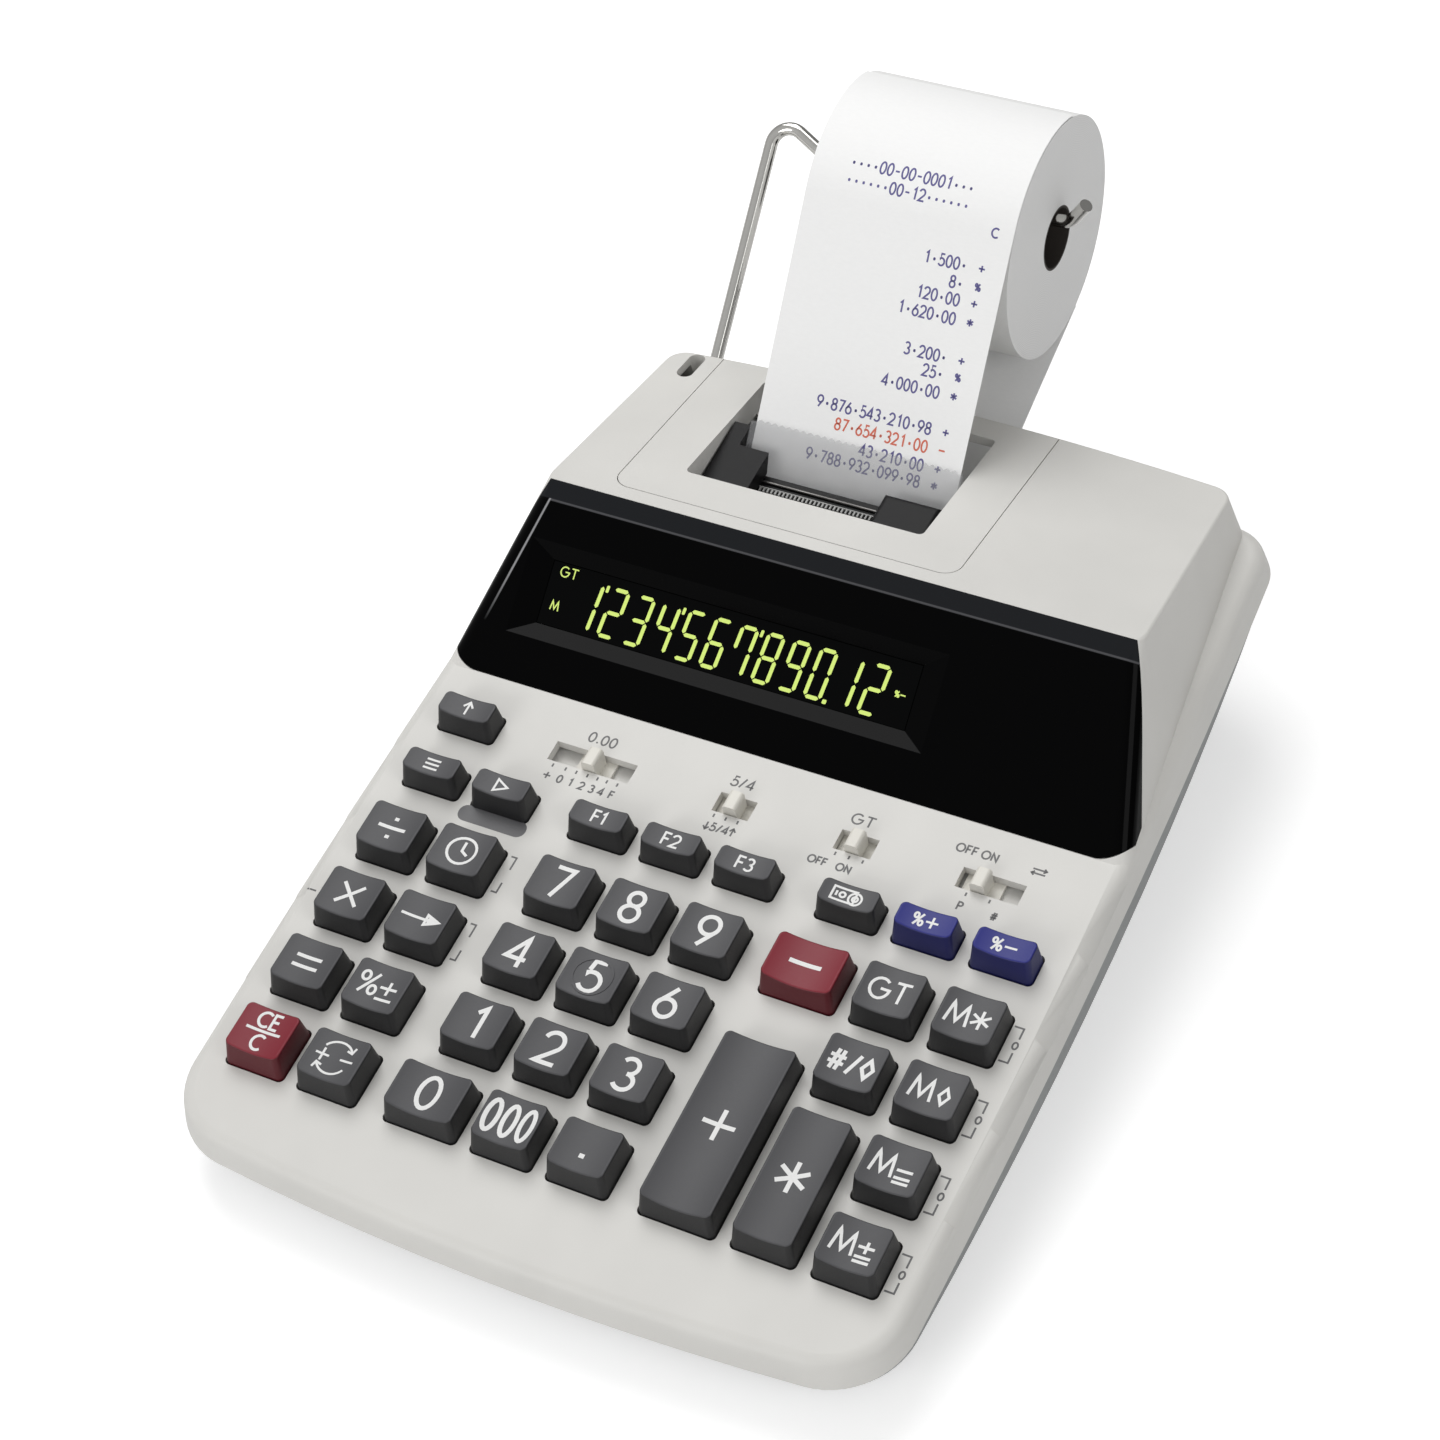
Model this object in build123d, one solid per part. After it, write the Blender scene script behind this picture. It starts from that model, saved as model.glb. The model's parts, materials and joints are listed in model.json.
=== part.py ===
import os
from math import asin, atan2, cos, degrees, hypot, radians, sin, sqrt, tan

from build123d import *

os.makedirs("parts", exist_ok=True)

# A printing desk calculator, in millimetres.
# Most pieces are drawn in the deck frame: x to the right, y up the slope of the keys,
# z square to the key deck, with y = 0 at the front of the row of keys 7 8 9.

# Stance on the table
tilt = 7.0                    # slope of the key deck, degrees
deck_front_height = 20.0      # deck surface above the table at the front edge
foot_height = 3.0             # rubber feet below the lower case

# Paper, the one standard size here
paper_width = 57.0
paper_thickness = 0.25
paper_centre_x = -14.2
roll_radius = 31.5
core_radius = 7.9

# Plan outline of the case at the parting line
half_width = 94.7             # at the widest place
half_width_front = 93.2       # before the front corners are rounded
half_width_rear = 89.8
widest_y = 20.0
front_y = -86.5               # middle of the bowed front edge
front_corner_y = -81.0
rear_y = 172.4                # middle of the bowed rear edge
rear_corner_y = 167.0
front_corner_radius = 20.0
rear_corner_radius = 12.0

# Upper case
skirt = 8.0                   # height of its outer wall, down to the parting line
draft = 12.0                  # slope of that wall, degrees
edge_radius = 3.5
deck_thickness = 2.5
rim_width = 6.0               # seat of the upper case on the lower case
wall = 2.5

# Lower case
band = 6.5                    # upright band below the parting line
hull_taper = 30.0             # slope of the hull below the band, degrees
lower_front_inset = 3.0
lower_end_inset = 2.2
lower_mid_inset = 0.3
floor_thickness = 2.5

# Display face and hood
display_foot_y = 60.8
crest_y = 103.8
crest_z = 27.8
hood_fall = 14.7              # slope of the hood's top towards the rear, degrees
hood_side_step = 3.6          # from the case's side to the foot of the hood's side ...
hood_foot_y = 84.0            # ... at this place
hood_taper = 0.1084           # loss of half width per mm towards the rear
hood_draft = 0.2717           # loss of half width per mm of height
hood_rear_inset = 0.8
hood_front_radius = 4.5
hood_rear_radius = 6.0
hood_crease_radius = 0.8

# Display lens, its window and the glass behind it
lens_back_y = 72.7            # where the back of the lens meets the deck
lens_corner_radius = 11.0
lens_corner_half = 93.0
lens_strip = 4.6              # sloped strip along the top edge of the lens
lens_top_gap = 1.0            # from the crest back to the top of the lens
lens_seat = 0.12              # clearance behind and below the lens
lens_wall = 2.0               # case wall behind the lens
window_left = -78.6
window_right = 36.0
window_low = 12.0
window_high = 36.5
window_bevel_x = 6.3
window_bevel_y = 4.0
window_depth = 2.4
glass_clearance = 0.2
glass_depth = 7.5
glass_frame_border = 5.0
glass_frame_thickness = 2.5

# Keys
key_pitch_x = 19.7
key_pitch_y = 20.6
key_width = 15.7
key_depth = 14.4
key_height = 6.9
small_key_depth = 8.3
wide_key_extra = 3.4          # wide keys reach this much further to the left
plus_key_depth = 47.5
small_row_y = 23.3
feed_row_y = 41.5
column_a = -84.1              # left edges of the first column of each cluster
column_c = -37.4
column_f = 29.0
key_side_inset = 0.65         # top face against the base, on each side
key_back_inset = 0.45
key_front_inset = 1.8
key_base = 0.3                # upright stretch above the deck
key_corner_radius = 1.5
key_edge_radius = 0.45
key_wall = 1.5
key_roof = 2.4
key_lip = 1.0                 # retaining lip under the deck
key_lip_thickness = 1.2
key_clearance = 0.35
key_travel = 2.4
key_stem_radius = 2.2
key_stem_gap = 0.3            # left above the rubber dome at full travel
key_stem_root = 0.5           # of the stem inside the key's roof
dish_radius = 28.0
dish_border = 0.5             # the dish runs out this far beyond the top face

# Slide switches
slot_low_y = 42.6
slot_high_y = 48.4
knob_width = 3.6
knob_height = 2.9
knob_clearance = 0.3
slider_thickness = 1.0
slider_margin = 1.6
slider_reach = 3.0            # beyond the knob on each side
slider_gap = 0.1
switch_body_gap = 0.3
switch_body_reach = 3.5       # beyond the slot on each side
switch_body_clearance = 0.4   # to the rubber sheet
decimal_slot = (-53.0, -30.5)
rounding_slot = (-7.5, 2.3)
total_slot = (24.9, 34.7)
power_slot = (56.5, 72.5)
decimal_rest = -41.4
rounding_rest = -2.6
total_rest = 29.8
power_rest = 62.2

# Rubber dome sheet and circuit board
board_side_gap = 7.7          # from the case's widest place to the board's side
board_front_y = -68.0
board_rear_y = 57.0
board_top_z = -11.0
board_thickness = 1.6
sheet_thickness = 1.4
sheet_border = 5.5
dome_radius = 3.2
dome_height = 2.0
board_post_radius = 2.0
board_post_inset = 3.0

# Printer cover on the hood's top
cover_left = -64.0
cover_right = 30.0
cover_front = 5.6             # from the crest
cover_corner_radius = 4.5
cover_gap = 0.25
cover_lip = 2.5
cover_lip_thickness = 1.5
cover_lip_end = 58.0
cover_seat = 0.1
mouth_left = -49.5            # paper opening in the cover
mouth_right = 16.0
mouth_front = 17.5
mouth_rear = 62.0
mouth_radius = 1.5
chute_wall = 1.2
chute_front_depth = 9.0
chute_rear_depth = 6.0
chute_drop = 0.5              # top of the chute's walls below the hood's surface
hinge_along = 66.5            # from the crest
hinge_depth = 5.4
hinge_pin_radius = 1.5
hinge_clearance = 0.05
hinge_tab = 3.0
hinge_post = 3.0
hinge_left = -57.0            # inner faces of the hinge posts
hinge_right = 23.0
hinge_gap = 0.3
hinge_boss_radius = 2.5
rear_slot_low = -6.3

# Holder slot in the hood's rear left corner
rest_slot_x = -70.6
rest_slot_width = 4.4
rest_slot_start = 55.0
rest_slot_end = 66.0

# Wire holder and roll
rod_radius = 1.75
rod_x = -67.2
rod_gap = 0.3                 # between the rod and the inside of the core
rod_rise = 10.9               # of the upper corner, beyond the height of the core, along the leg
rod_entry_x = -46.0           # where the rod turns into the core
rod_bend = 5.0
entry_bend = 18.0
hook_bend = 5.0
hook_start_x = 18.0
hook_out = 5.0
hook_up = 7.5
socket_radius = 3.6
socket_depth = 16.0
socket_clearance = 0.1
socket_mouth_y = 168.7
socket_mouth_z = 8.2
roll_y = 212.0
roll_z = 37.0
strip_gap = 0.3               # between the paper strip and what it wraps
strip_end_angle = 60.0        # where the printed end lies on the roll, degrees

# Printer
platen_radius = 6.0
platen_y = 132.3
platen_z = -6.0
platen_shaft_radius = 2.0
platen_end_gap = 1.0
bearing_clearance = 0.05
frame_plate = 2.5
frame_left = -51.5            # inner faces of the side plates
frame_right = 20.5
frame_front_y = 110.0
frame_rear_y = 148.0
frame_low_z = -20.0
frame_top_z = 11.0
guide_radius = 2.0
guide_y = 119.0
guide_z = 2.0
carriage_width = 16.0
carriage_right = 14.0
carriage_front_y = 112.5
carriage_rear_y = 124.5
carriage_low_z = -3.0
carriage_high_z = 11.0
carriage_head_front_y = 120.5
carriage_head_rear_y = 136.0
carriage_head_top_z = 16.0
carriage_head_radius = 1.5
carriage_gap = 1.0            # under the carriage's head, above the rail
ink_radius = 4.5
ink_overhang = 1.0
rail_front_y = 128.5          # bar in front of the tear bar
rail_thickness = 4.0
rail_top_z = 10.0
rail_gap = 0.9                # from the tear bar
end_block_width = 13.0
cheek_left = -49.0            # raised block at the left end of the mouth
cheek_right = -44.5
cheek_step_right = -36.0
cheek_front_y = 121.0
cheek_step_rear_y = 139.0
cheek_rear_y = 146.0
cheek_top_z = 15.5
motor_radius = 11.0
motor_length = 21.0
motor_flange = 1.6
motor_flange_radius = 12.5

# Tear bar
tear_gap = 0.5                # in front of the paper
tear_thickness = 1.0
tear_above = 1.3              # top edge above the hood's surface
tear_below = 15.0
tear_half = 29.5
tear_lug = 3.0
tooth_pitch = 2.0
tooth_height = 0.7

# Fasteners, feet and inlet
boss_radius = 3.75
boss_split_z = -10.0
screw_radius = 1.5
screw_head_radius = 2.8
screw_head_height = 2.0
screw_cross_length = 3.2
screw_cross_width = 0.8
screw_cross_depth = 1.0
screw_clearance = 0.2
screw_bite = 7.0
pilot_clearance = 0.05
front_screw_x = 60.0
front_screw_y = -74.0
rear_screw_x = 69.0
rear_screw_y = 109.0
foot_radius = 7.0
foot_plug_radius = 4.0
foot_plug = 1.3
foot_clearance = 0.1
front_foot_x = 62.0
front_foot_y = -62.0
rear_foot_x = 60.0
rear_foot_y = 128.0
inlet_x = 45.0
inlet_width = 12.0
inlet_height = 9.0
inlet_depth = 12.0
inlet_flange = 1.5
inlet_z = 18.0                # above the table
inlet_bore_radius = 3.0
inlet_clearance = 0.15

# Worked-out places
sin_tilt = sin(radians(tilt))
cos_tilt = cos(radians(tilt))
display_slope = degrees(atan2(crest_z, crest_y - display_foot_y))
display_length = hypot(crest_y - display_foot_y, crest_z)
sin_fall = sin(radians(hood_fall))
cos_fall = cos(radians(hood_fall))
deck_zero_height = deck_front_height - front_y * sin_tilt
board_half = half_width - board_side_gap
case_front = front_y * cos_tilt + skirt * sin_tilt
roll_rear = roll_y * cos_tilt - roll_z * sin_tilt + roll_radius
origin_shift = -(case_front + roll_rear) / 2

deck = Pos(0, origin_shift, deck_zero_height) * Rot(tilt, 0, 0)
face_frame = Pos(0, display_foot_y, 0) * Rot(display_slope, 0, 0)
hood_frame = Pos(0, crest_y, crest_z) * Rot(-hood_fall, 0, 0)


def side_half(y):
    """Half width of the plan outline at y, on the bow of its sides."""
    places = [(half_width_front, front_corner_y), (half_width, widest_y), (half_width_rear, rear_corner_y)]
    bow = ThreePointArc(*places)
    centre = bow.arc_center
    reach = sqrt(bow.radius ** 2 - (y - centre.Y) ** 2)
    return centre.X + reach if centre.X < half_width else centre.X - reach


hood_foot_half = side_half(hood_foot_y) - hood_side_step
hood_reach = hood_foot_half + hood_taper * hood_foot_y + wall   # past the widest place of the hood's sides


def on_hood(along, depth):
    """Deck y and z of a place on the hood's top, counted from the crest."""
    y = crest_y + along * cos_fall - depth * sin_fall
    z = crest_z - along * sin_fall - depth * cos_fall
    return y, z


def height_in_deck(y, table_z):
    """Deck z of the place at deck y that lies table_z above the table."""
    return (table_z - deck_zero_height - y * sin_tilt) / cos_tilt


def yz_prism(points, low_x, high_x):
    """A prism between two x planes with a polygon of (y, z) points as its section."""
    section = Plane.YZ * make_face(Polyline(*points, close=True))
    return Pos(low_x, 0, 0) * extrude(section, high_x - low_x)


def block(low, high):
    """A box between two corners."""
    size = [b - a for a, b in zip(low, high)]
    middle = [(a + b) / 2 for a, b in zip(low, high)]
    return Pos(*middle) * Box(*size)


def x_cylinder(radius, low_x, high_x, y, z):
    """A cylinder along x."""
    return Pos((low_x + high_x) / 2, y, z) * Rot(0, 90, 0) * Cylinder(radius, high_x - low_x)


def z_cylinder(radius, x, y, low_z, high_z):
    """A cylinder along z."""
    return Pos(x, y, (low_z + high_z) / 2) * Cylinder(radius, high_z - low_z)


def plan(inset=0.0, front=0.0, ends=0.0, middle=0.0):
    """The bowed plan outline, drawn in by an inset and by more at its front, ends or middle."""
    front_x = half_width_front - inset - ends
    rear_x = half_width_rear - inset - ends
    wide_x = half_width - inset - middle
    low = front_corner_y + inset + front
    high = rear_corner_y - inset - ends
    outline = [
        ThreePointArc((-front_x, low), (0, front_y + inset + front), (front_x, low)),
        ThreePointArc((front_x, low), (wide_x, widest_y), (rear_x, high)),
        ThreePointArc((rear_x, high), (0, rear_y - inset - ends), (-rear_x, high)),
        ThreePointArc((-rear_x, high), (-wide_x, widest_y), (-front_x, low)),
    ]
    flat = Face(Wire(outline))
    corners = flat.vertices().sort_by(Axis.Y)
    flat = flat.fillet_2d(front_corner_radius - inset, corners[:2])
    corners = flat.vertices().sort_by(Axis.Y)[-2:]
    return flat.fillet_2d(rear_corner_radius - inset, corners)


def between_sides(solid, inset):
    """Cuts a solid to the hood's two sloped sides, drawn in by an inset."""
    for side in (1, -1):
        origin = (side * (hood_foot_half - inset), hood_foot_y, 0)
        sloped = Plane(origin=origin, z_dir=(side, hood_taper, hood_draft))
        solid = split(solid, bisect_by=sloped, keep=Keep.BOTTOM)
    return solid


def hood_block():
    """The outer form of the hood, with its edges rounded."""
    foot = (display_foot_y - deck_thickness / tan(radians(display_slope)), -deck_thickness)
    rear = on_hood(rear_y - crest_y + skirt, 0)
    profile = [foot, (crest_y, crest_z), rear, (rear[0], -deck_thickness)]
    solid = between_sides(yz_prism(profile, -hood_reach, hood_reach), 0)
    tower = extrude(Pos(0, 0, -skirt) * plan(hood_rear_inset), skirt + crest_z + wall)
    corners_y = rear_corner_y - rear_corner_radius
    behind = block((-hood_reach, corners_y, -skirt), (hood_reach, rear[0], crest_z))
    solid = solid - (behind - tower)
    wraps = [e for e in solid.edges() if display_foot_y < e.center().Y < crest_y and e.center().Z > 1
             and abs(e.tangent_at(0.5).X) < 0.5]
    solid = fillet(wraps, hood_front_radius)
    at_rear = [e for e in solid.edges() if e.center().Y > rear_corner_y - skirt]
    beside = [e for e in at_rear if abs(e.center().X) > hood_foot_half / 2]
    upright = [e for e in beside if abs(e.tangent_at(0.5).Z) > 0.7]
    solid = fillet(upright, hood_rear_radius)
    top = [f for f in solid.faces() if f.normal_at().Z > 0.9 and f.center().Y > crest_y]
    return fillet(top[0].edges(), hood_crease_radius)


def lens_profile():
    """Section of the lens, in deck y and z."""
    slope = radians(display_slope)
    strip = display_length - lens_strip
    front = (display_foot_y + lens_seat / tan(slope), lens_seat)
    strip_point = (display_foot_y + strip * cos(slope), strip * sin(slope))
    return [front, strip_point, on_hood(lens_top_gap, lens_seat), (lens_back_y, lens_seat)]


def pocket_profile():
    """Section of the lens's seat, open towards the front."""
    outside = (crest_y - wall, crest_z + wall)
    return [(display_foot_y, 0), outside, on_hood(lens_top_gap + lens_seat, 0), (lens_back_y + lens_seat, 0)]


def lens_outline(margin):
    """Prism square to the display face that rounds the lens's lower corners."""
    high = display_length + skirt
    corner = lens_corner_half + margin
    flat = Pos(0, high / 2 - margin, 0) * RectangleRounded(2 * corner, high + margin, lens_corner_radius)
    upper = Pos(0, high, 0) * Rectangle(2 * corner, high)
    return face_frame * extrude(flat + upper, 4 * skirt, both=True)


def window_cut():
    """The bevelled window through the lens."""
    middle_x = (window_left + window_right) / 2
    middle_y = (window_low + window_high) / 2
    wide = window_right - window_left
    tall = window_high - window_low
    outer = Pos(middle_x, middle_y, 0) * Rectangle(wide, tall)
    inner_face = Rectangle(wide - 2 * window_bevel_x, tall - 2 * window_bevel_y)
    inner = Pos(middle_x, middle_y, -window_depth) * inner_face
    bevel = loft([outer.face(), inner.face()], ruled=True)
    through = extrude(inner, -4 * skirt)
    return face_frame * (bevel + through)


def glass_block(clearance):
    """The display glass that fills the window from behind."""
    low = (window_left + window_bevel_x + clearance, window_low + window_bevel_y + clearance)
    high = (window_right - window_bevel_x - clearance, window_high - window_bevel_y - clearance)
    return block((*low, -window_depth - glass_depth), (*high, -window_depth))


# Keys: name, left edge, front edge, width, depth
def key_table():
    rows = [-row * key_pitch_y for row in range(4)]
    a, b = column_a, column_a + key_pitch_x
    c, d, e = (column_c + i * key_pitch_x for i in range(3))
    f, g, h = (column_f + i * key_pitch_x for i in range(3))
    wide = key_width + wide_key_extra
    small = [("mode", a), ("start", b), ("cost", c), ("sell", d), ("margin", e),
             ("currency", f), ("tax_plus", g), ("tax_minus", h)]
    normal = [("divide", a, 0), ("time", b, 0), ("7", c, 0), ("8", d, 0), ("9", e, 0),
              ("grand_total", g, 0), ("memory_total", h, 0),
              ("multiply", a, 1), ("backspace", b, 1), ("4", c, 1), ("5", d, 1), ("6", e, 1),
              ("count", g, 1), ("memory_subtotal", h, 1),
              ("equals", a, 2), ("percent", b, 2), ("1", c, 2), ("2", d, 2), ("3", e, 2),
              ("memory_minus", h, 2),
              ("clear", a, 3), ("sign", b, 3), ("000", d, 3), ("point", e, 3), ("memory_plus", h, 3)]
    keys = [("feed", a, feed_row_y, key_width, small_key_depth)]
    keys += [(name, x, small_row_y, key_width, small_key_depth) for name, x in small]
    keys += [(name, x, rows[row], key_width, key_depth) for name, x, row in normal]
    keys += [("minus", f - wide_key_extra, rows[0], wide, key_depth),
             ("plus", f - wide_key_extra, rows[3], wide, plus_key_depth),
             ("total", g, rows[3], key_width, key_depth + key_pitch_y),
             ("0", c - wide_key_extra, rows[3], wide, key_depth)]
    return keys


def key_cap(width, depth):
    """A key, centred on its base, with z = 0 at the deck surface."""
    top_width = width - 2 * key_side_inset
    top_depth = depth - key_front_inset - key_back_inset
    top_y = (key_front_inset - key_back_inset) / 2
    base = Pos(0, 0, key_base) * RectangleRounded(width, depth, key_corner_radius)
    top = Pos(0, top_y, key_height) * RectangleRounded(top_width, top_depth, key_corner_radius)
    cap = loft([base.face(), top.face()], ruled=True)
    half = top_width / 2 + dish_border
    rise = sqrt(dish_radius ** 2 - half ** 2)
    dish = Pos(0, 0, key_height + rise) * Rot(90, 0, 0) * Cylinder(dish_radius, 2 * depth)
    cap = cap - dish
    cap = fillet(cap.faces().sort_by(Axis.Z)[-1].edges(), key_edge_radius)
    lip_low = -deck_thickness - key_lip_thickness
    neck = extrude(Pos(0, 0, lip_low) * RectangleRounded(width, depth, key_corner_radius), key_base - lip_low)
    lip_face = RectangleRounded(width + 2 * key_lip, depth + 2 * key_lip, key_corner_radius)
    lip = extrude(Pos(0, 0, lip_low) * lip_face, key_lip_thickness)
    hollow_high = key_height - key_roof
    hollow = block((-top_width / 2 + key_wall, top_y - top_depth / 2 + key_wall, lip_low),
                   (top_width / 2 - key_wall, top_y + top_depth / 2 - key_wall, hollow_high))
    stem_low = dome_top() + key_stem_gap + key_travel
    stem = z_cylinder(key_stem_radius, 0, top_y, stem_low, hollow_high + key_stem_root)
    return cap + neck + lip - hollow + stem


def dome_top():
    """Height of the rubber domes, between the sheet and the lips of pressed keys."""
    sheet_top = board_top_z + sheet_thickness
    return sheet_top + dome_height


def key_middle(left, front, width, depth):
    return left + width / 2, front + depth / 2


def upper_case():
    plate = extrude(Pos(0, 0, -skirt) * plan(), skirt, taper=draft)
    plate = fillet(plate.faces().sort_by(Axis.Z)[-1].edges(), edge_radius)
    pocket = extrude(Pos(0, 0, -skirt) * plan(rim_width), skirt - deck_thickness)
    shell = plate - pocket + hood_block()
    shell = shell - hood_cavity()
    shell = shell - lens_pocket()
    shell = shell - (face_frame * glass_opening())
    shell = shell + cover_lips()
    shell = shell - cover_cut()
    shell = shell - rear_slot()
    shell = shell + hinge_posts() + case_bosses() + board_posts() + holder_socket()
    shell = shell - key_holes() - switch_slots()
    shell = shell - holder_bore() - rest_slot() - boss_pilots()
    return shell


def hood_cavity():
    """The space inside the hood, open below."""
    top_y, top_z = on_hood(0, wall)
    back_high, back_low = lens_profile()[2:]
    run = back_high[0] - back_low[0]
    rise = back_high[1] - back_low[1]
    shift = lens_wall * hypot(run, rise) / rise
    foot_y = back_low[0] + shift - skirt * run / rise
    crest_cut = back_low[0] + shift + (top_z - 2 * wall - back_low[1]) * run / rise
    under_crest = on_hood((crest_cut - crest_y) / cos_fall, wall)
    rear = on_hood(rear_y - crest_y + skirt, wall)
    profile = [(foot_y, -skirt), under_crest, rear, (rear[0], -skirt)]
    solid = between_sides(yz_prism(profile, -hood_reach, hood_reach), wall)
    tower = extrude(Pos(0, 0, -skirt) * plan(hood_rear_inset + wall), skirt + crest_z)
    return solid & tower


def lens_pocket():
    return yz_prism(pocket_profile(), -hood_reach, hood_reach) & lens_outline(lens_seat)


def glass_opening():
    low = (window_left + window_bevel_x, window_low + window_bevel_y, -4 * skirt)
    high = (window_right - window_bevel_x, window_high - window_bevel_y, skirt)
    return block(low, high)


def cover_plate_prism(gap, low, high):
    """Prism over the cover's outline, from one depth to another, open towards the rear."""
    left = cover_left - gap
    right = cover_right + gap
    front = cover_front - gap
    rear = rear_y - crest_y + 4 * wall
    flat = Rectangle(right - left, rear - front)
    flat = Pos((left + right) / 2, (front + rear) / 2, 0) * flat
    corners = flat.vertices().sort_by(Axis.Y)[:2]
    flat = fillet(corners, cover_corner_radius + gap)
    return hood_frame * Pos(0, 0, low) * extrude(flat, high - low)


def cover_cut():
    return cover_plate_prism(cover_gap, -wall - cover_seat, wall)


def rear_slot():
    """Opening in the rear wall for the paper, under the cover's rear edge."""
    top = on_hood(hinge_along, 0)[1]
    low = (cover_left - cover_gap, rear_corner_y - rim_width - wall, rear_slot_low)
    return block(low, (cover_right + cover_gap, rear_y + wall, top))


def cover_lips():
    """Ledge under the cover's front and side edges."""
    low = -wall - cover_seat - cover_lip_thickness
    outer = block((cover_left - cover_lip, cover_front - cover_lip, low),
                  (cover_right + cover_lip, cover_lip_end, -wall / 2))
    inner = block((cover_left + cover_lip, cover_front + cover_lip, low),
                  (cover_right - cover_lip, cover_lip_end, -wall / 2))
    return hood_frame * (outer - inner)


def hinge_place():
    return on_hood(hinge_along, hinge_depth)


def hinge_posts():
    """Two posts on the rear wall that carry the cover's pins."""
    y, z = hinge_place()
    posts = []
    for low_x in (hinge_left - hinge_post, hinge_right):
        post = block((low_x, y - hinge_boss_radius, -skirt), (low_x + hinge_post, y + hinge_boss_radius, z))
        post = post + x_cylinder(hinge_boss_radius, low_x, low_x + hinge_post, y, z)
        bore = x_cylinder(hinge_pin_radius + hinge_clearance, low_x, low_x + hinge_post, y, z)
        posts.append(post - bore)
    return posts


def screw_places():
    front = [(side * front_screw_x, front_screw_y, -deck_thickness) for side in (1, -1)]
    rear_top = on_hood((rear_screw_y - crest_y) / cos_fall, wall / 2)[1]
    rear = [(side * rear_screw_x, rear_screw_y, rear_top) for side in (1, -1)]
    return front + rear


def case_bosses():
    return [z_cylinder(boss_radius, x, y, boss_split_z, top) for x, y, top in screw_places()]


def boss_pilots():
    radius = screw_radius + pilot_clearance
    return [z_cylinder(radius, x, y, boss_split_z, boss_split_z + screw_bite) for x, y, _ in screw_places()]


def board_posts():
    """Short posts that set the circuit board's height under the deck."""
    x = board_half - board_post_inset
    places = [(side * x, y) for side in (1, -1)
              for y in (board_front_y + board_post_inset, board_rear_y - board_post_inset)]
    return [z_cylinder(board_post_radius, px, py, board_top_z, -deck_thickness) for px, py in places]


def rod_top():
    """Deck y and z of the rod where it carries the roll: straight above the roll's centre."""
    drop = core_radius - rod_radius - rod_gap
    return roll_y + drop * sin_tilt, roll_z + drop * cos_tilt


def rod_direction():
    y, z = rod_top()
    length = hypot(y - socket_mouth_y, z - socket_mouth_z)
    return (y - socket_mouth_y) / length, (z - socket_mouth_z) / length


def socket_frame():
    """Frame at the socket's mouth with z along the rod, pointing out."""
    dy, dz = rod_direction()
    origin = (rod_x, socket_mouth_y, socket_mouth_z)
    return Plane(origin=origin, x_dir=(1, 0, 0), z_dir=(0, dy, dz)).location


def holder_socket():
    inside = extrude(Pos(0, 0, -skirt) * plan(hood_rear_inset + wall / 2), skirt + crest_z)
    long = socket_depth + wall
    tube = socket_frame() * Pos(0, 0, -long / 2) * Cylinder(socket_radius, long)
    beside_cover = Plane(origin=(cover_left - cover_gap, 0, 0), z_dir=(1, 0, 0))
    return split(tube & inside, bisect_by=beside_cover, keep=Keep.BOTTOM)


def holder_bore():
    radius = rod_radius + socket_clearance
    return socket_frame() * Pos(0, 0, -socket_depth / 2 + wall) * Cylinder(radius, socket_depth + 2 * wall)


def rest_slot():
    length = rest_slot_end - rest_slot_start
    flat = Rot(0, 0, 90) * SlotOverall(length, rest_slot_width)
    middle = Pos(rest_slot_x, (rest_slot_start + rest_slot_end) / 2)
    return hood_frame * extrude(middle * flat, 2 * wall, both=True)


def key_holes():
    holes = []
    for _, left, front, width, depth in key_table():
        x, y = key_middle(left, front, width, depth)
        flat = RectangleRounded(width + 2 * key_clearance, depth + 2 * key_clearance, key_corner_radius)
        holes.append(extrude(Pos(x, y, -2 * deck_thickness) * flat, 3 * deck_thickness))
    return holes


def slot_list():
    return [("decimal", decimal_slot, decimal_rest), ("rounding", rounding_slot, rounding_rest),
            ("total", total_slot, total_rest), ("power", power_slot, power_rest)]


def switch_slots():
    return [block((low, slot_low_y, -2 * deck_thickness), (high, slot_high_y, deck_thickness))
            for _, (low, high), _ in slot_list()]


def lower_plan(inset=0.0):
    return plan(inset, lower_front_inset, lower_end_inset, lower_mid_inset)


def hull(inset, floor_z):
    """Form of the lower case: an upright band, then sides that slope in towards the table."""
    depth = skirt + band
    upright = extrude(Pos(0, 0, -depth) * lower_plan(inset), band)
    fall = -height_in_deck(rear_y, 0)
    sloped = extrude(Pos(0, 0, -depth) * lower_plan(inset), -(fall - depth), taper=hull_taper)
    solid = deck * (upright + sloped)
    return split(solid, bisect_by=Plane.XY.offset(floor_z), keep=Keep.TOP)


def lower_case():
    tub = hull(0, foot_height) - hull(wall, foot_height + floor_thickness)
    inside = hull(wall / 2, foot_height)
    posts = []
    for x, y, _ in screw_places():
        low = height_in_deck(y, foot_height)
        posts.append((deck * z_cylinder(boss_radius, x, y, low - boss_radius, boss_split_z)) & inside)
    tub = tub + posts + frame_pillars(inside) + inlet_seat()
    for x, y, _ in screw_places():
        low = height_in_deck(y, foot_height) - boss_radius
        shank = screw_radius + screw_clearance
        head = screw_head_radius + screw_clearance
        seat = screw_seat(y)
        tub = tub - (deck * z_cylinder(shank, x, y, low, boss_split_z))
        tub = tub - (deck * z_cylinder(head, x, y, low, seat))
    for x, y in foot_places():
        tub = tub - z_cylinder(foot_plug_radius + foot_clearance, x, y, foot_height, foot_height + foot_plug)
    return tub - inlet_hole()


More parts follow.
